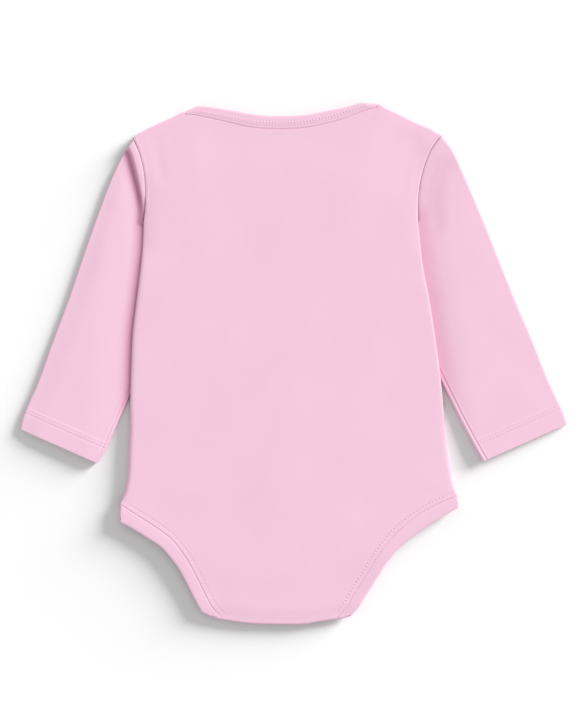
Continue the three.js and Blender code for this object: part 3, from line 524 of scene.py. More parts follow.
def place_back(i, j, columns, rows):
    main = BACK_MAIN_ROWS
    start = TAB_ROWS + FOLD_ROWS
    xyz = np.zeros((len(i), 3))
    flat = np.zeros((len(i), 2))
    thetas = np.array([t if t is not None else math.pi / 2 for _, _, t in BACK_COLUMNS])
    for r in range(rows + 1):
        pick = j == r
        cols = i[pick]
        k = r - start
        row = 0.0 if k < 0 else (main[k] if k < len(main) else float(TOP))
        ends = edge(BACK_SIDES[0], np.array([row])), edge(BACK_SIDES[1], np.array([row]))
        width = float(np.linalg.norm(ends[0] - ends[1]))
        u = u_of_columns(width)[cols]
        if k < 0:
            line = along(CROTCH_LINE, u)
            if r < TAB_ROWS:
                share = 1 - r / TAB_ROWS
                end = TAB_END[0] + (TAB_END[1] - TAB_END[0]) * u[:, None]
                xy = line + (end - line) * share
                z = np.full(len(u), CROTCH_Z - CROTCH_HALF)
            else:
                a = math.pi * (r - TAB_ROWS) / FOLD_ROWS - math.pi / 2
                xy = line - np.array([0, 1.0]) * (FOLD_R + CLOTH / 2) * math.cos(a)
                z = np.full(len(u), CROTCH_Z + CROTCH_HALF * math.sin(a))
            xyz[pick] = np.column_stack([xy, z])
            flat[pick] = np.column_stack([line[:, 0], xy[:, 1] * 0 - 207 - (start - r) * 1.9])
            continue
        rows_here = np.full(len(u), row)
        if k >= len(main):
            a = math.pi / 2 * (1 - (k - len(main)) / SHOULDER_STEPS)
            p1 = panel_point(BACK, u, np.full(len(u), TOP - 0.6))
            p2 = panel_point(BACK, u, np.full(len(u), float(TOP)))
            length = np.linalg.norm(p2 - p1, axis=1)
            rows_here = TOP - 0.6 * ROLL_TOP * (1 - math.cos(a)) / length
        xy = panel_point(BACK, u, rows_here)
        top = back_top(xy[:, 0], xy[:, 1])
        high = top - base(xy[:, 0], xy[:, 1]) - CLOTH - SEAM
        amount = roll_amount(rows_here)
        drop = amount * high * (1 - np.sin(thetas[cols]))
        if k >= len(main):
            drop = np.maximum(drop, shoulder_amount(u) * high * (1 - math.sin(a)))
        fade = smooth(-0.2, 1.6, row)
        z = top - drop + back_relief(xy) * fade
        xyz[pick] = np.column_stack([xy, z])
        flat[pick] = xy
    return xyz, flat


back = cloth_grid("back_panel_cloth", place_back, len(BACK_COLUMNS) - 1,
                  TAB_ROWS + FOLD_ROWS + len(BACK_MAIN_ROWS) + SHOULDER_STEPS)
give_wall(back, CLOTH)

# %% [markdown]
# Front panel. It lies face down on the paper, so its outer side is the underside. It is cut
# deeper at the neck and a little higher at the legs, and is hidden from above.

# %% Front panel
FRONT_COLUMNS, FRONT_ROW_COUNT = 100, 190


def place_front(i, j, columns, rows):
    s = i / columns
    u = 0.5 - 0.5 * np.cos(math.pi * s) * (0.35) - 0.65 * (0.5 - s)
    row = TOP * j / rows
    xy = panel_point(FRONT, u, row)
    x, y = xy[:, 0], xy[:, 1]
    low = base(x, y)
    edge_far = smooth(2, 16, np.minimum(x - x_left(y), x_right(y) - x))
    rise = np.clip(folds(FRONT_FOLDS, x, y), 0, 0.6) * edge_far * (1 - smooth(0.0, 0.5, low))
    return np.column_stack([xy, low + rise]), xy + np.array([0, 500.0])


front = cloth_grid("front_panel_cloth", place_front, FRONT_COLUMNS, FRONT_ROW_COUNT, flip=True)
give_wall(front, CLOTH)

# %% [markdown]
# Sleeves. A sleeve is a tube, pressed flat and swung in beside the body so that its inner
# fold slides under it. Its sections run from the cuff to the armhole. Near the armhole it
# climbs to the seam of the back, and then drops beside the body into a valley. Each point
# also keeps how deep it lies in that valley and beside the body, as painted shade that
# darkens the pink there.

# %% Sleeve sections
# columns: flat strip beside the armhole at its foot, at its top, width of the drop at the
# foot, at the top
ARM_SHAPE = {-1: (0.6, 4.8, 2.2, 4.6), 1: (5.0, 6.0, 48.0, 48.0)}
# columns: air in the sleeve, mm beside the body over which it swells, the same beside the
# drop, share of the air at the outer fold, depth of the rounding along the outer fold
SWELL = {-1: (2.4, 36, 14, 0.8, 1.5), 1: (2.4, 26, 16, 0.1, 0.0)}
ROUND_SHARE = 0.26  # share of a sleeve's width over which it sinks to its outer fold
RISE_ROWS = {-1: (20.3, 21.9), 1: (20.0, 24.4)}
# columns: reach in mm, strength of the painted crease shade beside the body
CREASE_SHADE = {-1: (11.0, 0.75), 1: (17.0, 0.4)}
# columns: strength of the painted shade in the trough beside the armhole, half its width in mm,
# how far from the armhole it lies at most
TROUGH_SHADE = {-1: (1.0, 3.4, 9.4), 1: (0.12, 6.0, 16.0)}
# columns: distance from the cuff, depth
HEM_ROWS = ((13.2, 0.3), (16.3, 0.16))
SLEEVE_AROUND = {"top": 56, "seam": 22, "fold": 8, "low": 44}
SEAM_ZONE = 0.91  # share of the width where the close columns for the underarm seam begin


ROW_STEP = 0.1  # rows to both sides over which the direction of the armhole is taken


def arm_shape(side, row):
    """Widths of the flat strip and of the drop beside the armhole, at a row of it."""
    strip_foot, strip_top, drop_foot, drop_top = ARM_SHAPE[side]
    up = smooth(SIDE_END, 23.5, row)
    return strip_foot + (strip_top - strip_foot) * up, drop_foot + (drop_top - drop_foot) * up


def sleeve_maker(table, side):
    index = 0 if side < 0 else 1
    panel_edge = BACK_SIDES[index]
    end, join = len(table) - 1, len(table) - 3
    outer, inner = table[:, 0:2], table[:, 2:4]
    arm_rows = np.linspace(TOP, SIDE_END, 61)
    before = edge(panel_edge, np.maximum(arm_rows - ROW_STEP, SIDE_END))
    ahead = edge(panel_edge, np.minimum(arm_rows + ROW_STEP, TOP)) - before
    normal = unit(np.column_stack([side * ahead[:, 1], -side * ahead[:, 0]]))
    off = SEAM + 0.25 * smooth(24.4, 25.4, arm_rows)
    arm = edge(panel_edge, arm_rows) + normal * off[:, None]
    foot, tail = edge(panel_edge, np.array([float(SIDE_END)]))[0], inner[end]
    arm_length = np.linalg.norm(np.diff(arm, axis=0), axis=1).sum()
    v_foot = arm_length / (arm_length + np.linalg.norm(tail - foot))
    line_x = x_left if side < 0 else x_right
    probe = np.linspace(0, 1, 401)
    chord = outer[join] + (inner[join] - outer[join]) * probe[:, None]
    v_cross = probe[(side * (chord[:, 0] - line_x(chord[:, 1]))) > 0].max()

    def end_line(v):
        out = arm[-1] + (tail - arm[-1]) * np.clip((v - v_foot) / (1 - v_foot), 0, 1)[:, None]
        on_arm = v <= v_foot
        out[on_arm] = along(arm, v[on_arm] / v_foot)
        return out

    def section(v, s):
        past_foot = v_cross + (1 - v_cross) * (v - v_foot) / (1 - v_foot)
        spread = np.where(v <= v_foot, v / v_foot * v_cross, past_foot)
        c = v + (spread - v) * smooth(join - 4, join, s)
        o, n = curve(outer, np.array([s]))[0], curve(inner, np.array([s]))[0]
        if s <= join:
            return o + (n - o) * c[:, None]
        k = (s - join) / (end - join)
        from_join = outer[join] + (inner[join] - outer[join]) * c[:, None]
        bow = o - (outer[join] + (outer[end] - outer[join]) * k)
        return from_join + (end_line(v) - from_join) * k + bow * ((1 - v) ** 2)[:, None]

    def heights(xy, v):
        air, by_body, by_drop, at_fold, rounding = SWELL[side]
        d, where = nearest(xy, arm)
        row = TOP + (SIDE_END - TOP) * where / (len(arm) - 1)
        at = edge(panel_edge, row)
        rise = smooth(*RISE_ROWS[side], row)
        strip, drop_wide = arm_shape(side, row)
        out = side * (xy[:, 0] - line_x(xy[:, 1]))
        free = smooth(0, by_body, out) * smooth(0, by_drop, d - strip - 0.6 * np.minimum(drop_wide, 8))
        sunk = rounding * (1 - smooth(0, ROUND_SHARE, v))
        puff = (air * (at_fold + (1 - at_fold) * np.clip(v, 0, 1)) - sunk) * free
        k_top = rise * (1 - smooth(strip, strip + drop_wide, d))
        k_low = rise * (1 - smooth(1, 7, d))
        top = SLEEVE_H + puff
        top = top + (back_top(at[:, 0], at[:, 1]) - top) * k_top
        low = base(at[:, 0], at[:, 1]) * k_low
        return top, low

    return section, heights, arm, inner, outer


def sleeve_relief(xy, side, arm, inner_line, cuff):
    """Height added to the upper layer: folds, hem, underarm seam and armhole seam."""
    z = folds(SLEEVE_FOLDS[side], xy[:, 0], xy[:, 1])
    line_x = x_left if side < 0 else x_right
    out = side * (xy[:, 0] - line_x(xy[:, 1]))
    z = z * smooth(4, 18, out)
    z = z + seam_and_hem(xy, inner_line, cuff) * smooth(-2, 3, out)
    return z - 0.45 * bump(nearest(xy, arm)[0], 0.0, 0.9)


def seam_and_hem(xy, inner_line, cuff):
    e_cuff = nearest(xy, cuff)[0]
    e_seam = nearest(xy, inner_line)[0]
    rows = sum(deep * bump(e_cuff, at, 0.5) for at, deep in HEM_ROWS)
    hem = 0.22 * (1 - smooth(17.0, 18.6, e_cuff)) - rows
    return hem - 0.5 * bump(e_seam, 3.2, 0.6) + 0.12 * bump(e_seam, 4.6, 0.7)


def sleeve_stations(table):
    join, end = len(table) - 3, len(table) - 1
    # columns: first section, last section, steps
    parts = [(0, 0.95, 12), (0.95, 1.36, 30), (1.36, 2, 14), (2, join, 70)]
    early = [np.linspace(a, b, n, endpoint=False) for a, b, n in parts]
    return np.concatenate(early + [np.linspace(join, end, 40)])


def paint_crease_shade(obj, side, arm):
    """Keep, point by point, how strongly painted shade darkens the cloth beside the body and in the trough
    by the armhole.
    """
    xy = np.array([v.co[:2] for v in obj.data.vertices]) / MM
    reach, strength = CREASE_SHADE[side]
    out = side * (xy[:, 0] - (x_left if side < 0 else x_right)(xy[:, 1]))
    shade_beside_body = (1 - smooth(0, reach, out)) * strength
    d, where = nearest(xy, arm)
    row = TOP + (SIDE_END - TOP) * where / (len(arm) - 1)
    bottom = sum(arm_shape(side, row))
    shade_beside_body = shade_beside_body * (1 - smooth(20.2, 21.5, row) * (1 - smooth(6, 12, d)))
    deep, half_wide, farthest = TROUGH_SHADE[side]
    shade_in_trough = deep * bump(d, np.minimum(bottom, farthest), half_wide) * (1 - smooth(24.8, 25.8, row))
    # painted shade: a share from 0 to 1 of how far the pink is darkened in the crease
    layer = obj.data.attributes.new("painted_crease_shade", "FLOAT", "POINT")
    layer.data.foreach_set("value", np.clip(np.maximum(shade_beside_body, shade_in_trough), 0, 1))


def make_sleeve(name, table, side):
    section, heights, arm, inner, outer = sleeve_maker(table, side)
    stations = sleeve_stations(table)
    cuff = np.array([table[0, 0:2], table[0, 2:4]])
    inner_line, outer_line = rounded(inner, 90), rounded(outer, 90)
    n_top, n_seam, n_fold, n_low = SLEEVE_AROUND.values()
    wide_shares = np.linspace(0, SEAM_ZONE, n_top, endpoint=False)
    top_shares = np.concatenate([wide_shares, np.linspace(SEAM_ZONE, 1, n_seam)])

    def ring(s):
        ends = section(np.array([0.0, 1.0]), s)
        r = SLEEVE_H / 2 / np.linalg.norm(ends[0] - ends[1])
        v_top = r + (1 - 2 * r) * top_shares
        v_low = r + (1 - 2 * r) * np.linspace(1, 0, n_low)
        parts = []
        for v, which in ((v_top, 0), (v_low, 1)):
            xy = section(v, s)
            z = heights(xy, v)[which]
            if which == 0:
                z = z + sleeve_relief(xy, side, arm, inner_line, cuff)
            else:
                z = z + np.clip(seam_and_hem(xy, inner_line, cuff) * -1, 0, 0.3)
            parts.append(np.column_stack([xy, z]))
        turns = []
        for v_in, v_out, rim in ((1 - r, 1.0, (parts[0][-1, 2], parts[1][0, 2])),
                                 (r, 0.0, (parts[0][0, 2], parts[1][-1, 2]))):
            c, o = section(np.array([v_in, v_out]), s)
            a = np.linspace(math.pi / 2, -math.pi / 2, n_fold + 2)[1:-1]
            zt, zb = rim
            xy = c + (o - c) * np.cos(a)[:, None]
            turns.append(np.column_stack([xy, (zt + zb) / 2 + (zt - zb) / 2 * np.sin(a)]))
        closed = np.vstack([parts[0], turns[0], parts[1], turns[1][::-1], parts[0][:1]])
        return closed

    rings = np.array([ring(s) for s in stations])
    girth = np.linalg.norm(np.diff(rings, axis=1), axis=2)
    across = np.concatenate([np.zeros((len(rings), 1)), np.cumsum(girth, axis=1)], axis=1)
    lengths = run_along(rings[:, n_top // 2])

    def place(i, j, columns, rows):
        return rings[j, i], np.column_stack([across[j, i] + side * 600, lengths[j]])

    obj = cloth_grid(name, place, rings.shape[1] - 1, rings.shape[0] - 1, flip=side > 0, tube=True)
    paint_crease_shade(obj, side, arm)
    return give_wall(obj, CLOTH, rim=0.4), (section, heights, side, arm, inner_line, cuff)


sleeve_left, left_parts = make_sleeve("sleeve_left_cloth", SLEEVE_LEFT, -1)
sleeve_right, right_parts = make_sleeve("sleeve_right_cloth", SLEEVE_RIGHT, 1)

# %% [markdown]
# Rib bindings. A strip of rib is folded over the raw edge and sewn down. It stands a little
# above the cloth, it is rounded at its fold, and at the shoulders, the crotch and the sides
# it turns over with the garment. Each is one closed strip with the same cross section.

# %% Binding sections
SOFT_EDGE = 2.2
SEAM_SLOPE = 3.6
SEAM_SIDE = np.linspace(0, 1, 22) ** 1.4


def rib_ring(seam, free, face, sink):
    """Points round the strip, from its seam side over the top to its free fold and back."""
    way = unit(free - seam)
    wide = np.linalg.norm(free - seam)
    h = RIB / 2
    flat = wide - SOFT_EDGE
    ring = []
    for d in SEAM_SIDE * flat:
        down = sink * (1 - smooth(0, SEAM_SLOPE, d)) + 0.2 * bump(d, 0.0, 0.35)
        down += sink * (0.24 * bump(d, 2.5, 0.5) - 0.3 * bump(d, 1.3, 0.5))
        ring.append(seam + way * d + face * (h - down))
    for q in np.radians(np.linspace(78, -78, 11)):
        ring.append(seam + way * (flat + SOFT_EDGE * math.cos(q)) + face * h * math.sin(q))
    for share in (1.0, 0.75, 0.5, 0.25, 0.0):
        ring.append(seam + way * share * flat - face * h)
    return ring


def fold_stations(fold, z, first, last, radii, pull=0.0, steps=12):
    """Stations round a fold: radii in plan and in height, corner pulled in by pull."""
    ax, ay, bx, by, ox, oy = fold
    way = unit(np.array([bx - ax, by - ay, 0.0]))
    out = []
    for q in np.radians(np.linspace(first, last, steps + 1)):
        face = np.array([ox * math.cos(q), oy * math.cos(q), math.sin(q)])
        shift = face * np.array([radii[0], radii[0], radii[1]])
        inward = pull * math.cos(q) ** 2
        seam = np.array([ax, ay, z]) + shift + way * 0.3 * inward
        out.append((seam, np.array([bx, by, z]) + shift - way * inward, face))
    return out


LOW_RADII = (FOLD_R, LOW_FOLD_HALF)
CROTCH_RADII = (FOLD_R, 0.8)


def strip(points, width_at, ways, blend, sign, z_at, face, ends=((0, 0), (0, 0))):
    last = len(points) - 1
    t = np.linspace(0, 1, last + 1)
    k = np.arange(last + 1)
    ahead = unit(points[np.minimum(k + 1, last)] - points[np.maximum(k - 1, 0)])
    square = sign * np.column_stack([ahead[:, 1], -ahead[:, 0]])
    way = square + (np.asarray(ways[0]) - square) * (1 - smooth(0, blend[0], t))[:, None]
    way = unit(way + (np.asarray(ways[1]) - way) * smooth(1 - blend[1], 1, t)[:, None])
    seam = points + square * SEWN
    free = points + way * (width_at(t) + SEAM)[:, None]
    free = free + np.array(ends[0]) * (1 - smooth(0, 0.12, t))[:, None]
    free = free + np.array(ends[1]) * smooth(0.9, 1, t)[:, None]
    z = z_at(points[:, 0], points[:, 1])
    n = np.array([0, 0, float(face)])
    return [(np.append(p, h), np.append(q, h), n) for p, q, h in zip(seam, free, z)]


SEWN = 0.05
TAB_BINDING = 8.4


def low_rib(x, y):
    return np.maximum(RIB / 2, base(x, y) + CLOTH / 2)


def top_rib(x, y):
    return back_top(x, y) - CLOTH / 2


def direction(fold):
    return unit(np.array([fold[2] - fold[0], fold[3] - fold[1]]))


def rib_strip(name, stations, closed, sinks):
    rings = np.array([rib_ring(*station, sink) for station, sink in zip(stations, sinks)])
    if closed:
        rings = np.concatenate([rings, rings[:1]])
    rings = np.concatenate([rings, rings[:, :1]], axis=1)
    middle = len(rings) // 2
    run, around = run_along(rings[:, 0]), run_along(rings[middle])

    def place(i, j, columns, rows):
        return rings[j, i], np.column_stack([around[i], run[j] + 900])

    obj = cloth_grid(name, place, rings.shape[1] - 1, rings.shape[0] - 1, tube=True)
    bm = bmesh.new()
    bm.from_mesh(obj.data)
    if not closed:
        bmesh.ops.holes_fill(bm, edges=[e for e in bm.edges if e.is_boundary])
    bmesh.ops.recalc_face_normals(bm, faces=bm.faces)
    if bm.calc_volume(signed=True) < 0:
        bmesh.ops.reverse_faces(bm, faces=bm.faces)
    bm.to_mesh(obj.data)
    bm.free()
    print("   strip", round(float(run[-1])), "mm long and", round(float(around[-1]) / 2, 1), "mm wide")
    return obj


# %% Neck binding
NECK_SINK, LEG_SINK = 0.6, 0.2


def neck_binding():
    left, right = NECK_FOLDS["left"], NECK_FOLDS["right"]
    seam = along(NECK_BACK_LINE[1:-1], np.linspace(0, 1, 115))
    free = along(rounded(NECK_BACK[1:-1, 2:4]), np.linspace(0, 1, 115))
    ahead = unit(np.gradient(seam, axis=0))
    a = seam + np.column_stack([-ahead[:, 1], ahead[:, 0]]) * SEWN
    z = top_rib(seam[:, 0], seam[:, 1]) + 0.2
    up = np.array([0, 0, 1.0])
    at_end = smooth(0.9, 1, np.linspace(0, 1, len(free)))
    free = free + np.array(right[4:6]) * 1.5 * at_end[:, None]
    back_part = [(np.append(p, h), np.append(q, h), up) for p, q, h in zip(a, free, z)][1:-1]
    under = along(NECK_FRONT_LINE[::-1], np.linspace(0, 1, 110))
    front_part = strip(under, lambda t: 10.6 + 2.0 * smooth(0.6, 1, t), (direction(right), direction(left)),
                       (0.1, 0.1), 1, low_rib, -1)[1:-1]
    folds_l = fold_stations(left, LOW_FOLD_Z, -90, 90, LOW_RADII, 1.4)
    folds_r = fold_stations(right, LOW_FOLD_Z, 90, -90, LOW_RADII, 0.6)
    stations = folds_l + back_part + folds_r + front_part
    sinks = [0.0] * len(folds_l) + [NECK_SINK] * len(back_part) + [0.0] * (len(folds_r) + len(front_part))
    return rib_strip("neck_band_rib", stations, True, eased_ends(sinks)), back_part


def eased_ends(values, reach=5):
    """Spread each sudden change of a list over a few stations."""
    kernel = np.ones(2 * reach + 1) / (2 * reach + 1)
    padded = np.concatenate([values[-reach:], values, values[:reach]])
    return np.convolve(padded, kernel, "valid")


neck, neck_back_part = neck_binding()


# %% Leg bindings
def leg_binding(name, side):
    key, col = ("left", 0) if side < 0 else ("right", 1)
    crotch, corner = LEG_FOLDS[key]["crotch"], LEG_FOLDS[key]["side"]
    crotch_width = float(np.hypot(crotch[2] - crotch[0], crotch[3] - crotch[1]))
    widths = np.column_stack([LEG_WIDTH[:, col], LEG_WIDTH[:, col] * 0])
    leg_width = lambda t: curve(widths, t * LEG_END)[:, 0]
    tab_line = TAB_END[col] + (np.array(crotch[:2]) - TAB_END[col]) * np.linspace(0, 1, 14)[:, None]
    tab_z = CROTCH_Z - CROTCH_RADII[1]
    tab = strip(tab_line, lambda t: TAB_BINDING + (crotch_width - TAB_BINDING) * t,
                (np.array([side, 0.05]), direction(crotch)), (0.6, 0.6), side,
                lambda x, y: tab_z + 0 * x, -1)[:-1]
    rows = np.linspace(0, LEG_END - 0.09, 112)
    back_part = strip(edge(BACK_SIDES[col], rows), leg_width, (direction(crotch), direction(corner)),
                      ((0.22, 0.26)[col], 0.1), side, top_rib, 1,
                      (np.array(crotch[4:6]) * 1.5, np.array(corner[4:6])))[1:-1]
    end_width = float(leg_width(np.ones(1))[0])
    front_part = strip(edge(FRONT_SIDES[col], rows[::-1]),
                       lambda t: end_width + (TAB_BINDING - end_width) * smooth(0, 0.3, t),
                       (direction(corner), np.array([side * 0.98, -0.1])), (0.12, 0.12),
                       -side, low_rib, -1)[1:]
    turn = fold_stations(crotch, CROTCH_Z, -90, 90, CROTCH_RADII, 0.6)
    other_turn = fold_stations(corner, SIDE_FOLD_Z, 90, -90, (FOLD_R, SIDE_FOLD_Z - RIB / 2), 1.2)
    stations = tab + turn + back_part + other_turn + front_part
    sinks = [0.0] * (len(tab) + len(turn)) + [LEG_SINK] * len(back_part)
    sinks += [0.0] * (len(other_turn) + len(front_part))
    return rib_strip(name, stations, False, eased_ends(sinks))


leg_left = leg_binding("leg_band_left_rib", -1)
leg_right = leg_binding("leg_band_right_rib", 1)

# %% [markdown]
# Stitches. A coverstitch machine leaves two rows of short threads in the hems of the sleeves,
# and small bars across the bindings. Each stitch is a small long bead, half sunk in the cloth.

# %% Stitches
# columns: length, thickness, distance from one stitch to the next, in mm
HEM_STITCH = (1.8, 0.6, 2.6)
NECK_BAR = (2.4, 0.75, 2.5)
LEG_BAR = (1.8, 0.6, 2.9)


def stitch_row(bm, points, kind, way=None):
    """points is a fine chain in mm; a bead lies along it, or across it where way is given."""
    long, thick, step = kind
    place = run_along(points)
    at = np.arange(step, place[-1] - step, step)
    pick = lambda chain, d: np.stack([np.interp(d, place, chain[:, k]) for k in range(3)], -1)
    where = pick(points, at)
    ahead = pick(way, at) if way is not None else pick(points, at + 0.5) - where
    for p, d in zip(where, unit(ahead)):
        turn = Vector(d).to_track_quat("X", "Z").to_matrix().to_4x4()
        size = Matrix.Diagonal((long / 2 * MM, thick / 2 * MM, thick / 2 * MM, 1))
        lie = Matrix.Translation(Vector(p) * MM) @ turn @ size
        bmesh.ops.create_icosphere(bm, subdivisions=2, radius=1.0, matrix=lie)


def stitches(name, rows, kind):
    bm = bmesh.new()
    for points, way in rows:
        stitch_row(bm, points, kind, way)
    return to_object(name, bm)


def leg_bars(col, side, distance=3.5):
    """A row of bars beside the leg seam, each square to it."""
    line = edge(BACK_SIDES[col], np.linspace(0.25, 8.7, 160))
    ahead = unit(np.gradient(line, axis=0))
    square = side * np.column_stack([ahead[:, 1], -ahead[:, 0]])
    xy = line - square * distance
    z = back_top(xy[:, 0], xy[:, 1]) + back_relief(xy) + 0.1
    return np.column_stack([xy, z]), np.column_stack([square, 0 * z])


def neck_bars(distance=5.4):
    seam, free, face = (np.array(part) for part in zip(*neck_back_part))
    way = unit(free - seam)
    return seam + way * distance + face * (RIB / 2 + 0.05), way


def hem_rows(parts):
    """Both rows of a sleeve hem, on its upper and its lower layer."""
    section, heights, side, arm, inner_line, cuff = parts
    v = np.linspace(0.02, 0.98, 90)
    places = np.linspace(0, 2, 81)
    grid = np.array([section(v, s) for s in places])
    away = np.array([nearest(line, cuff)[0] for line in grid])
    rows = []
    for distance, _ in HEM_ROWS:
        s = [np.interp(distance, away[:, k], places) for k in range(len(v))]
        xy = np.array([section(v[k:k + 1], s[k])[0] for k in range(len(v))])
        top, low = heights(xy, v)
        on_top = top + sleeve_relief(xy, side, arm, inner_line, cuff) + 0.05
        rows.append((np.column_stack([xy, on_top]), None))
        rows.append((np.column_stack([xy, low + 0.1]), None))
    return rows


stitch_pieces = {
    "neck": stitches("neck_stitches", [neck_bars()], NECK_BAR),
    "leg_left": stitches("leg_left_stitches", [leg_bars(0, -1)], LEG_BAR),
    "leg_right": stitches("leg_right_stitches", [leg_bars(1, 1)], LEG_BAR),
    "cuff_left": stitches("cuff_left_stitches", hem_rows(left_parts), HEM_STITCH),
    "cuff_right": stitches("cuff_right_stitches", hem_rows(right_parts), HEM_STITCH)}

# %% [markdown]
# Snaps. Three painted ring caps sit on the outer side of the front tab, under the crotch. A
# cap is a low round plate with a rolled rim, so its outline is spun round its own middle.

# %% Snaps
SNAP_X, SNAP_Y = (-42.0, -11.0, 20.0), -191.5
# columns: radius, height
SNAP_PROFILE = [(0.0, 0.32), (2.2, 0.32), (2.7, 0.12), (3.4, 0.0), (4.2, 0.03), (4.62, 0.22), (4.75, 0.5),
                (4.6, 0.85), (4.2, 1.0), (0.0, 1.0)]


def snap(name, x, y):
    bm = bmesh.new()
    verts = [bm.verts.new((r * MM, 0, z * MM)) for r, z in SNAP_PROFILE]
    edges = [bm.edges.new(pair) for pair in zip(verts, verts[1:])]
    bmesh.ops.spin(bm, geom=verts + edges, cent=(0, 0, 0), axis=(0, 0, 1), angle=2 * math.pi,
                   steps=40, use_merge=True)
    bmesh.ops.remove_doubles(bm, verts=bm.verts, dist=1e-6)
    bmesh.ops.recalc_face_normals(bm, faces=bm.faces)
    bmesh.ops.translate(bm, verts=bm.verts, vec=(x * MM, y * MM, 0))
    return to_object(name, bm)


snaps = [snap(f"snap_cap_{k + 1}", x, SNAP_Y) for k, x in enumerate(SNAP_X)]

# %% [markdown]
# Materials start from the real thing. The cloth is combed cotton interlock, dyed a pale pink:
# matt, with a short pile that brightens at grazing angles. Its wales are 0.8 mm apart, too
# fine to show here, so they are drawn at 1.3 mm.

# %% Material helpers
def linear(hex_colour):
    parts = [int(hex_colour[k:k + 2], 16) / 255 for k in (1, 3, 5)]
    return tuple(c / 12.92 if c <= 0.04045 else ((c + 0.055) / 1.055) ** 2.4 for c in parts) + (1.0,)


def node(tree, kind, settings=None, links=None):
    """Add a node, set its fields and sockets, and link its inputs."""
    made = tree.nodes.new(kind)
    for key, value in (settings or {}).items():
        if isinstance(key, str) and hasattr(made, key):
            setattr(made, key, value)
        else:
            made.inputs[key].default_value = value
    for key, source in (links or {}).items():
        tree.links.new(source, made.inputs[key])
    return made


def new_material(name):
    material = bpy.data.materials.new(name)
    material.use_nodes = True
    tree = material.node_tree
    tree.nodes.clear()
    shader = node(tree, "ShaderNodeBsdfPrincipled")
    node(tree, "ShaderNodeOutputMaterial", links={"Surface": shader.outputs["BSDF"]})
    return material, tree, shader


# %% Cotton knit
PINK = "#F3C9DD"
PINK_DEEP = "#F0C4D9"
# painted shade for creases: white leaves the pink as it is, the greys darken it
CREASE_SHADE_TINTS = ("#FFFFFF", "#EFDBE2", "#C6A9B6")


def cotton_knit(name, wale_mm, course_mm, depth_mm, light, deep):
    material, tree, shader = new_material(name)
    where = node(tree, "ShaderNodeUVMap", {"uv_map": "cut"})
    place = node(tree, "ShaderNodeTexCoord")
    cloud = node(tree, "ShaderNodeTexNoise", {"Scale": 22.0, "Detail": 3.0, "Roughness": 0.5},
                 {"Vector": place.outputs["Object"]})
    fleck = node(tree, "ShaderNodeTexNoise", {"Scale": 900.0, "Detail": 2.0, "Roughness": 0.6},
                 {"Vector": place.outputs["Object"]})
    shade = node(tree, "ShaderNodeMix", {"data_type": "FLOAT", 0: 0.35},
                 {2: cloud.outputs["Fac"], 3: fleck.outputs["Fac"]})
    tint = node(tree, "ShaderNodeValToRGB", links={"Fac": shade.outputs[0]})
    tint.color_ramp.elements[0].position = 0.3
    tint.color_ramp.elements[0].color = linear(deep)
    tint.color_ramp.elements[1].position = 0.7
    tint.color_ramp.elements[1].color = linear(light)
    wales = node(tree, "ShaderNodeTexWave", {"wave_type": "BANDS", "bands_direction": "X",
                 "Scale": 1000 / wale_mm / 20, "Distortion": 0.6, "Detail": 1.0,
                 "Detail Scale": 2.0}, {"Vector": where.outputs["UV"]})
    courses = node(tree, "ShaderNodeTexWave", {"wave_type": "BANDS", "bands_direction": "Y",
                   "Scale": 1000 / course_mm / 20, "Distortion": 0.6, "Detail": 1.0, "Detail Scale": 2.0},
                   {"Vector": where.outputs["UV"]})
    loops = node(tree, "ShaderNodeMix", {"data_type": "FLOAT", 0: 0.4},
                 {2: wales.outputs["Fac"], 3: courses.outputs["Fac"]})
    pile = node(tree, "ShaderNodeMix", {"data_type": "FLOAT", 0: 0.45},
                {2: loops.outputs[0], 3: fleck.outputs["Fac"]})
    relief = node(tree, "ShaderNodeBump", {"Strength": 0.5, "Distance": depth_mm * MM},
                  {"Height": pile.outputs[0]})
    # painted shade: the crease share multiplies the base colour by grey
    painted_crease_shade = node(tree, "ShaderNodeAttribute", {"attribute_name": "painted_crease_shade"})
    crease_shade_ramp = node(tree, "ShaderNodeValToRGB", links={"Fac": painted_crease_shade.outputs["Fac"]})
    stops = crease_shade_ramp.color_ramp.elements
    stops.new(0.5)
    for stop, colour in zip(stops, CREASE_SHADE_TINTS):
        stop.color = linear(colour)
    shaded_base = node(tree, "ShaderNodeMix", {"data_type": "RGBA", "blend_type": "MULTIPLY", 0: 1.0},
                  {6: tint.outputs["Color"], 7: crease_shade_ramp.outputs["Color"]})
    tree.links.new(shaded_base.outputs[2], shader.inputs["Base Color"])
    tree.links.new(relief.outputs["Normal"], shader.inputs["Normal"])
    shader.inputs["Roughness"].default_value = 0.92
    shader.inputs["Specular IOR Level"].default_value = 0.2
    shader.inputs["Sheen Weight"].default_value = 0.18
    shader.inputs["Sheen Roughness"].default_value = 0.5
    shader.inputs["Sheen Tint"].default_value = linear("#FFE6F0")
    return material


knit = cotton_knit("cotton interlock", 1.3, 1.0, 0.04, PINK, PINK_DEEP)
rib = cotton_knit("cotton rib", 1.3, 1.1, 0.06, PINK, PINK_DEEP)
thread = cotton_knit("polyester thread", 0.4, 0.4, 0.02, "#F6D0E3", "#F3C9DD")


# %% Painted snap caps
def painted_cap():
    material, tree, shader = new_material("painted brass cap")
    shader.inputs["Base Color"].default_value = linear("#E3B2C9")
    shader.inputs["Roughness"].default_value = 0.32
    place = node(tree, "ShaderNodeTexCoord")
    orange_peel = node(tree, "ShaderNodeTexNoise", {"Scale": 1500.0, "Detail": 1.0},
                       {"Vector": place.outputs["Object"]})
    relief = node(tree, "ShaderNodeBump", {"Strength": 0.15, "Distance": 0.05 * MM},
                  {"Height": orange_peel.outputs["Fac"]})
    tree.links.new(relief.outputs["Normal"], shader.inputs["Normal"])
    return material


cap_paint = painted_cap()
print("materials", [m.name for m in bpy.data.materials])
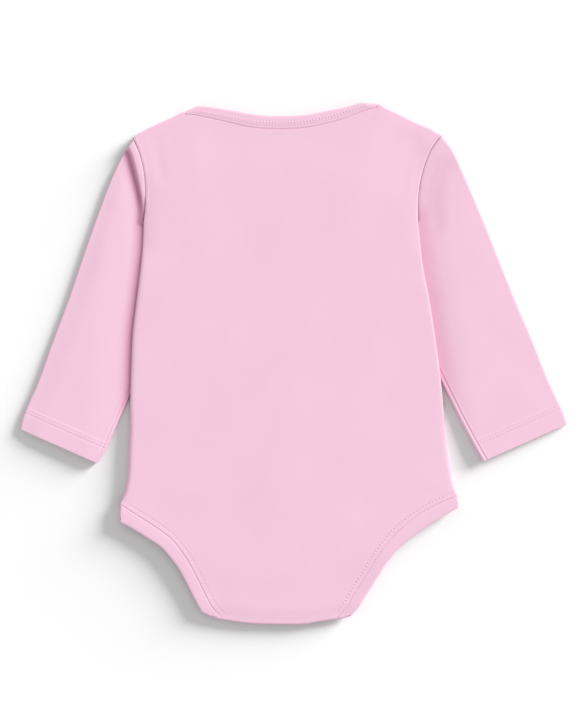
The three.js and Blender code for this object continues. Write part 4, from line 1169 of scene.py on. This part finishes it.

# %% [markdown]
# Each piece now gets its material, rides on the garment's one body and stands for its solid.

# %% Dress the garment
NODE_OF = {back: "back_panel", front: "front_panel", neck: "neck_band", sleeve_left: "sleeve_left",
           sleeve_right: "sleeve_right", leg_left: "leg_band_left", leg_right: "leg_band_right"}
for piece, cad_node in NODE_OF.items():
    ribbed = "band" in cad_node
    piece.data.materials.append(rib if ribbed else knit)
    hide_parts(cad_node)
    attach(piece, "root")
for k, cap in enumerate(snaps):
    cap.data.materials.append(cap_paint)
    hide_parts(f"snap_{k + 1}")
    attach(cap, "root")
for piece in stitch_pieces.values():
    piece.data.materials.append(thread)
    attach(piece, "root")

# %% [markdown]
# The floor is plain white paper. A broad soft light stands at the upper right, screened off
# from the paper, so that it shapes the cloth alone. A lower strip light, which reaches only
# the paper, throws the long soft shadow to the left. An even white sky fills both.

# %% Floor and light
floor_mesh = bmesh.new()
bmesh.ops.create_grid(floor_mesh, x_segments=1, y_segments=1, size=3.0)
floor = to_object("paper_floor", floor_mesh)
floor.data.materials.append(bpy.data.materials.new("white paper"))
paper_tree = floor.data.materials[0]
paper_tree.use_nodes = True
paper = paper_tree.node_tree.nodes["Principled BSDF"]
paper.inputs["Base Color"].default_value = linear("#E8E8E8")
paper.inputs["Roughness"].default_value = 0.9
paper.inputs["Specular IOR Level"].default_value = 0.1

def soft_sun(name, height, azimuth, energy, angle):
    data = bpy.data.lights.new(name, "SUN")
    data.energy = energy
    data.angle = math.radians(angle)
    lamp = bpy.data.objects.new(name, data)
    up, round_ = math.radians(height), math.radians(azimuth)
    towards = Vector((math.cos(round_) * math.cos(up), math.sin(round_) * math.cos(up), math.sin(up)))
    lamp.rotation_euler = towards.to_track_quat("Z", "Y").to_euler()
    bpy.context.scene.collection.objects.link(lamp)
    return lamp


def only_on(lamp, things):
    lamp.light_linking.receiver_collection = bpy.data.collections.new(lamp.name + " reaches")
    for thing in things:
        lamp.light_linking.receiver_collection.objects.link(thing)


only_on(soft_sun("soft key", 32.0, 44.0, 2.4, 30), [*NODE_OF, *snaps, *stitch_pieces.values()])
only_on(soft_sun("low strip light", 11.5, 34.0, 9.87, 26), [floor])
world = bpy.data.worlds.new("white sky")
world.use_nodes = True
world.node_tree.nodes["Background"].inputs["Color"].default_value = (1, 1, 1, 1)
world.node_tree.nodes["Background"].inputs["Strength"].default_value = 0.62
bpy.context.scene.world = world
bpy.context.scene.view_settings.view_transform = "Standard"
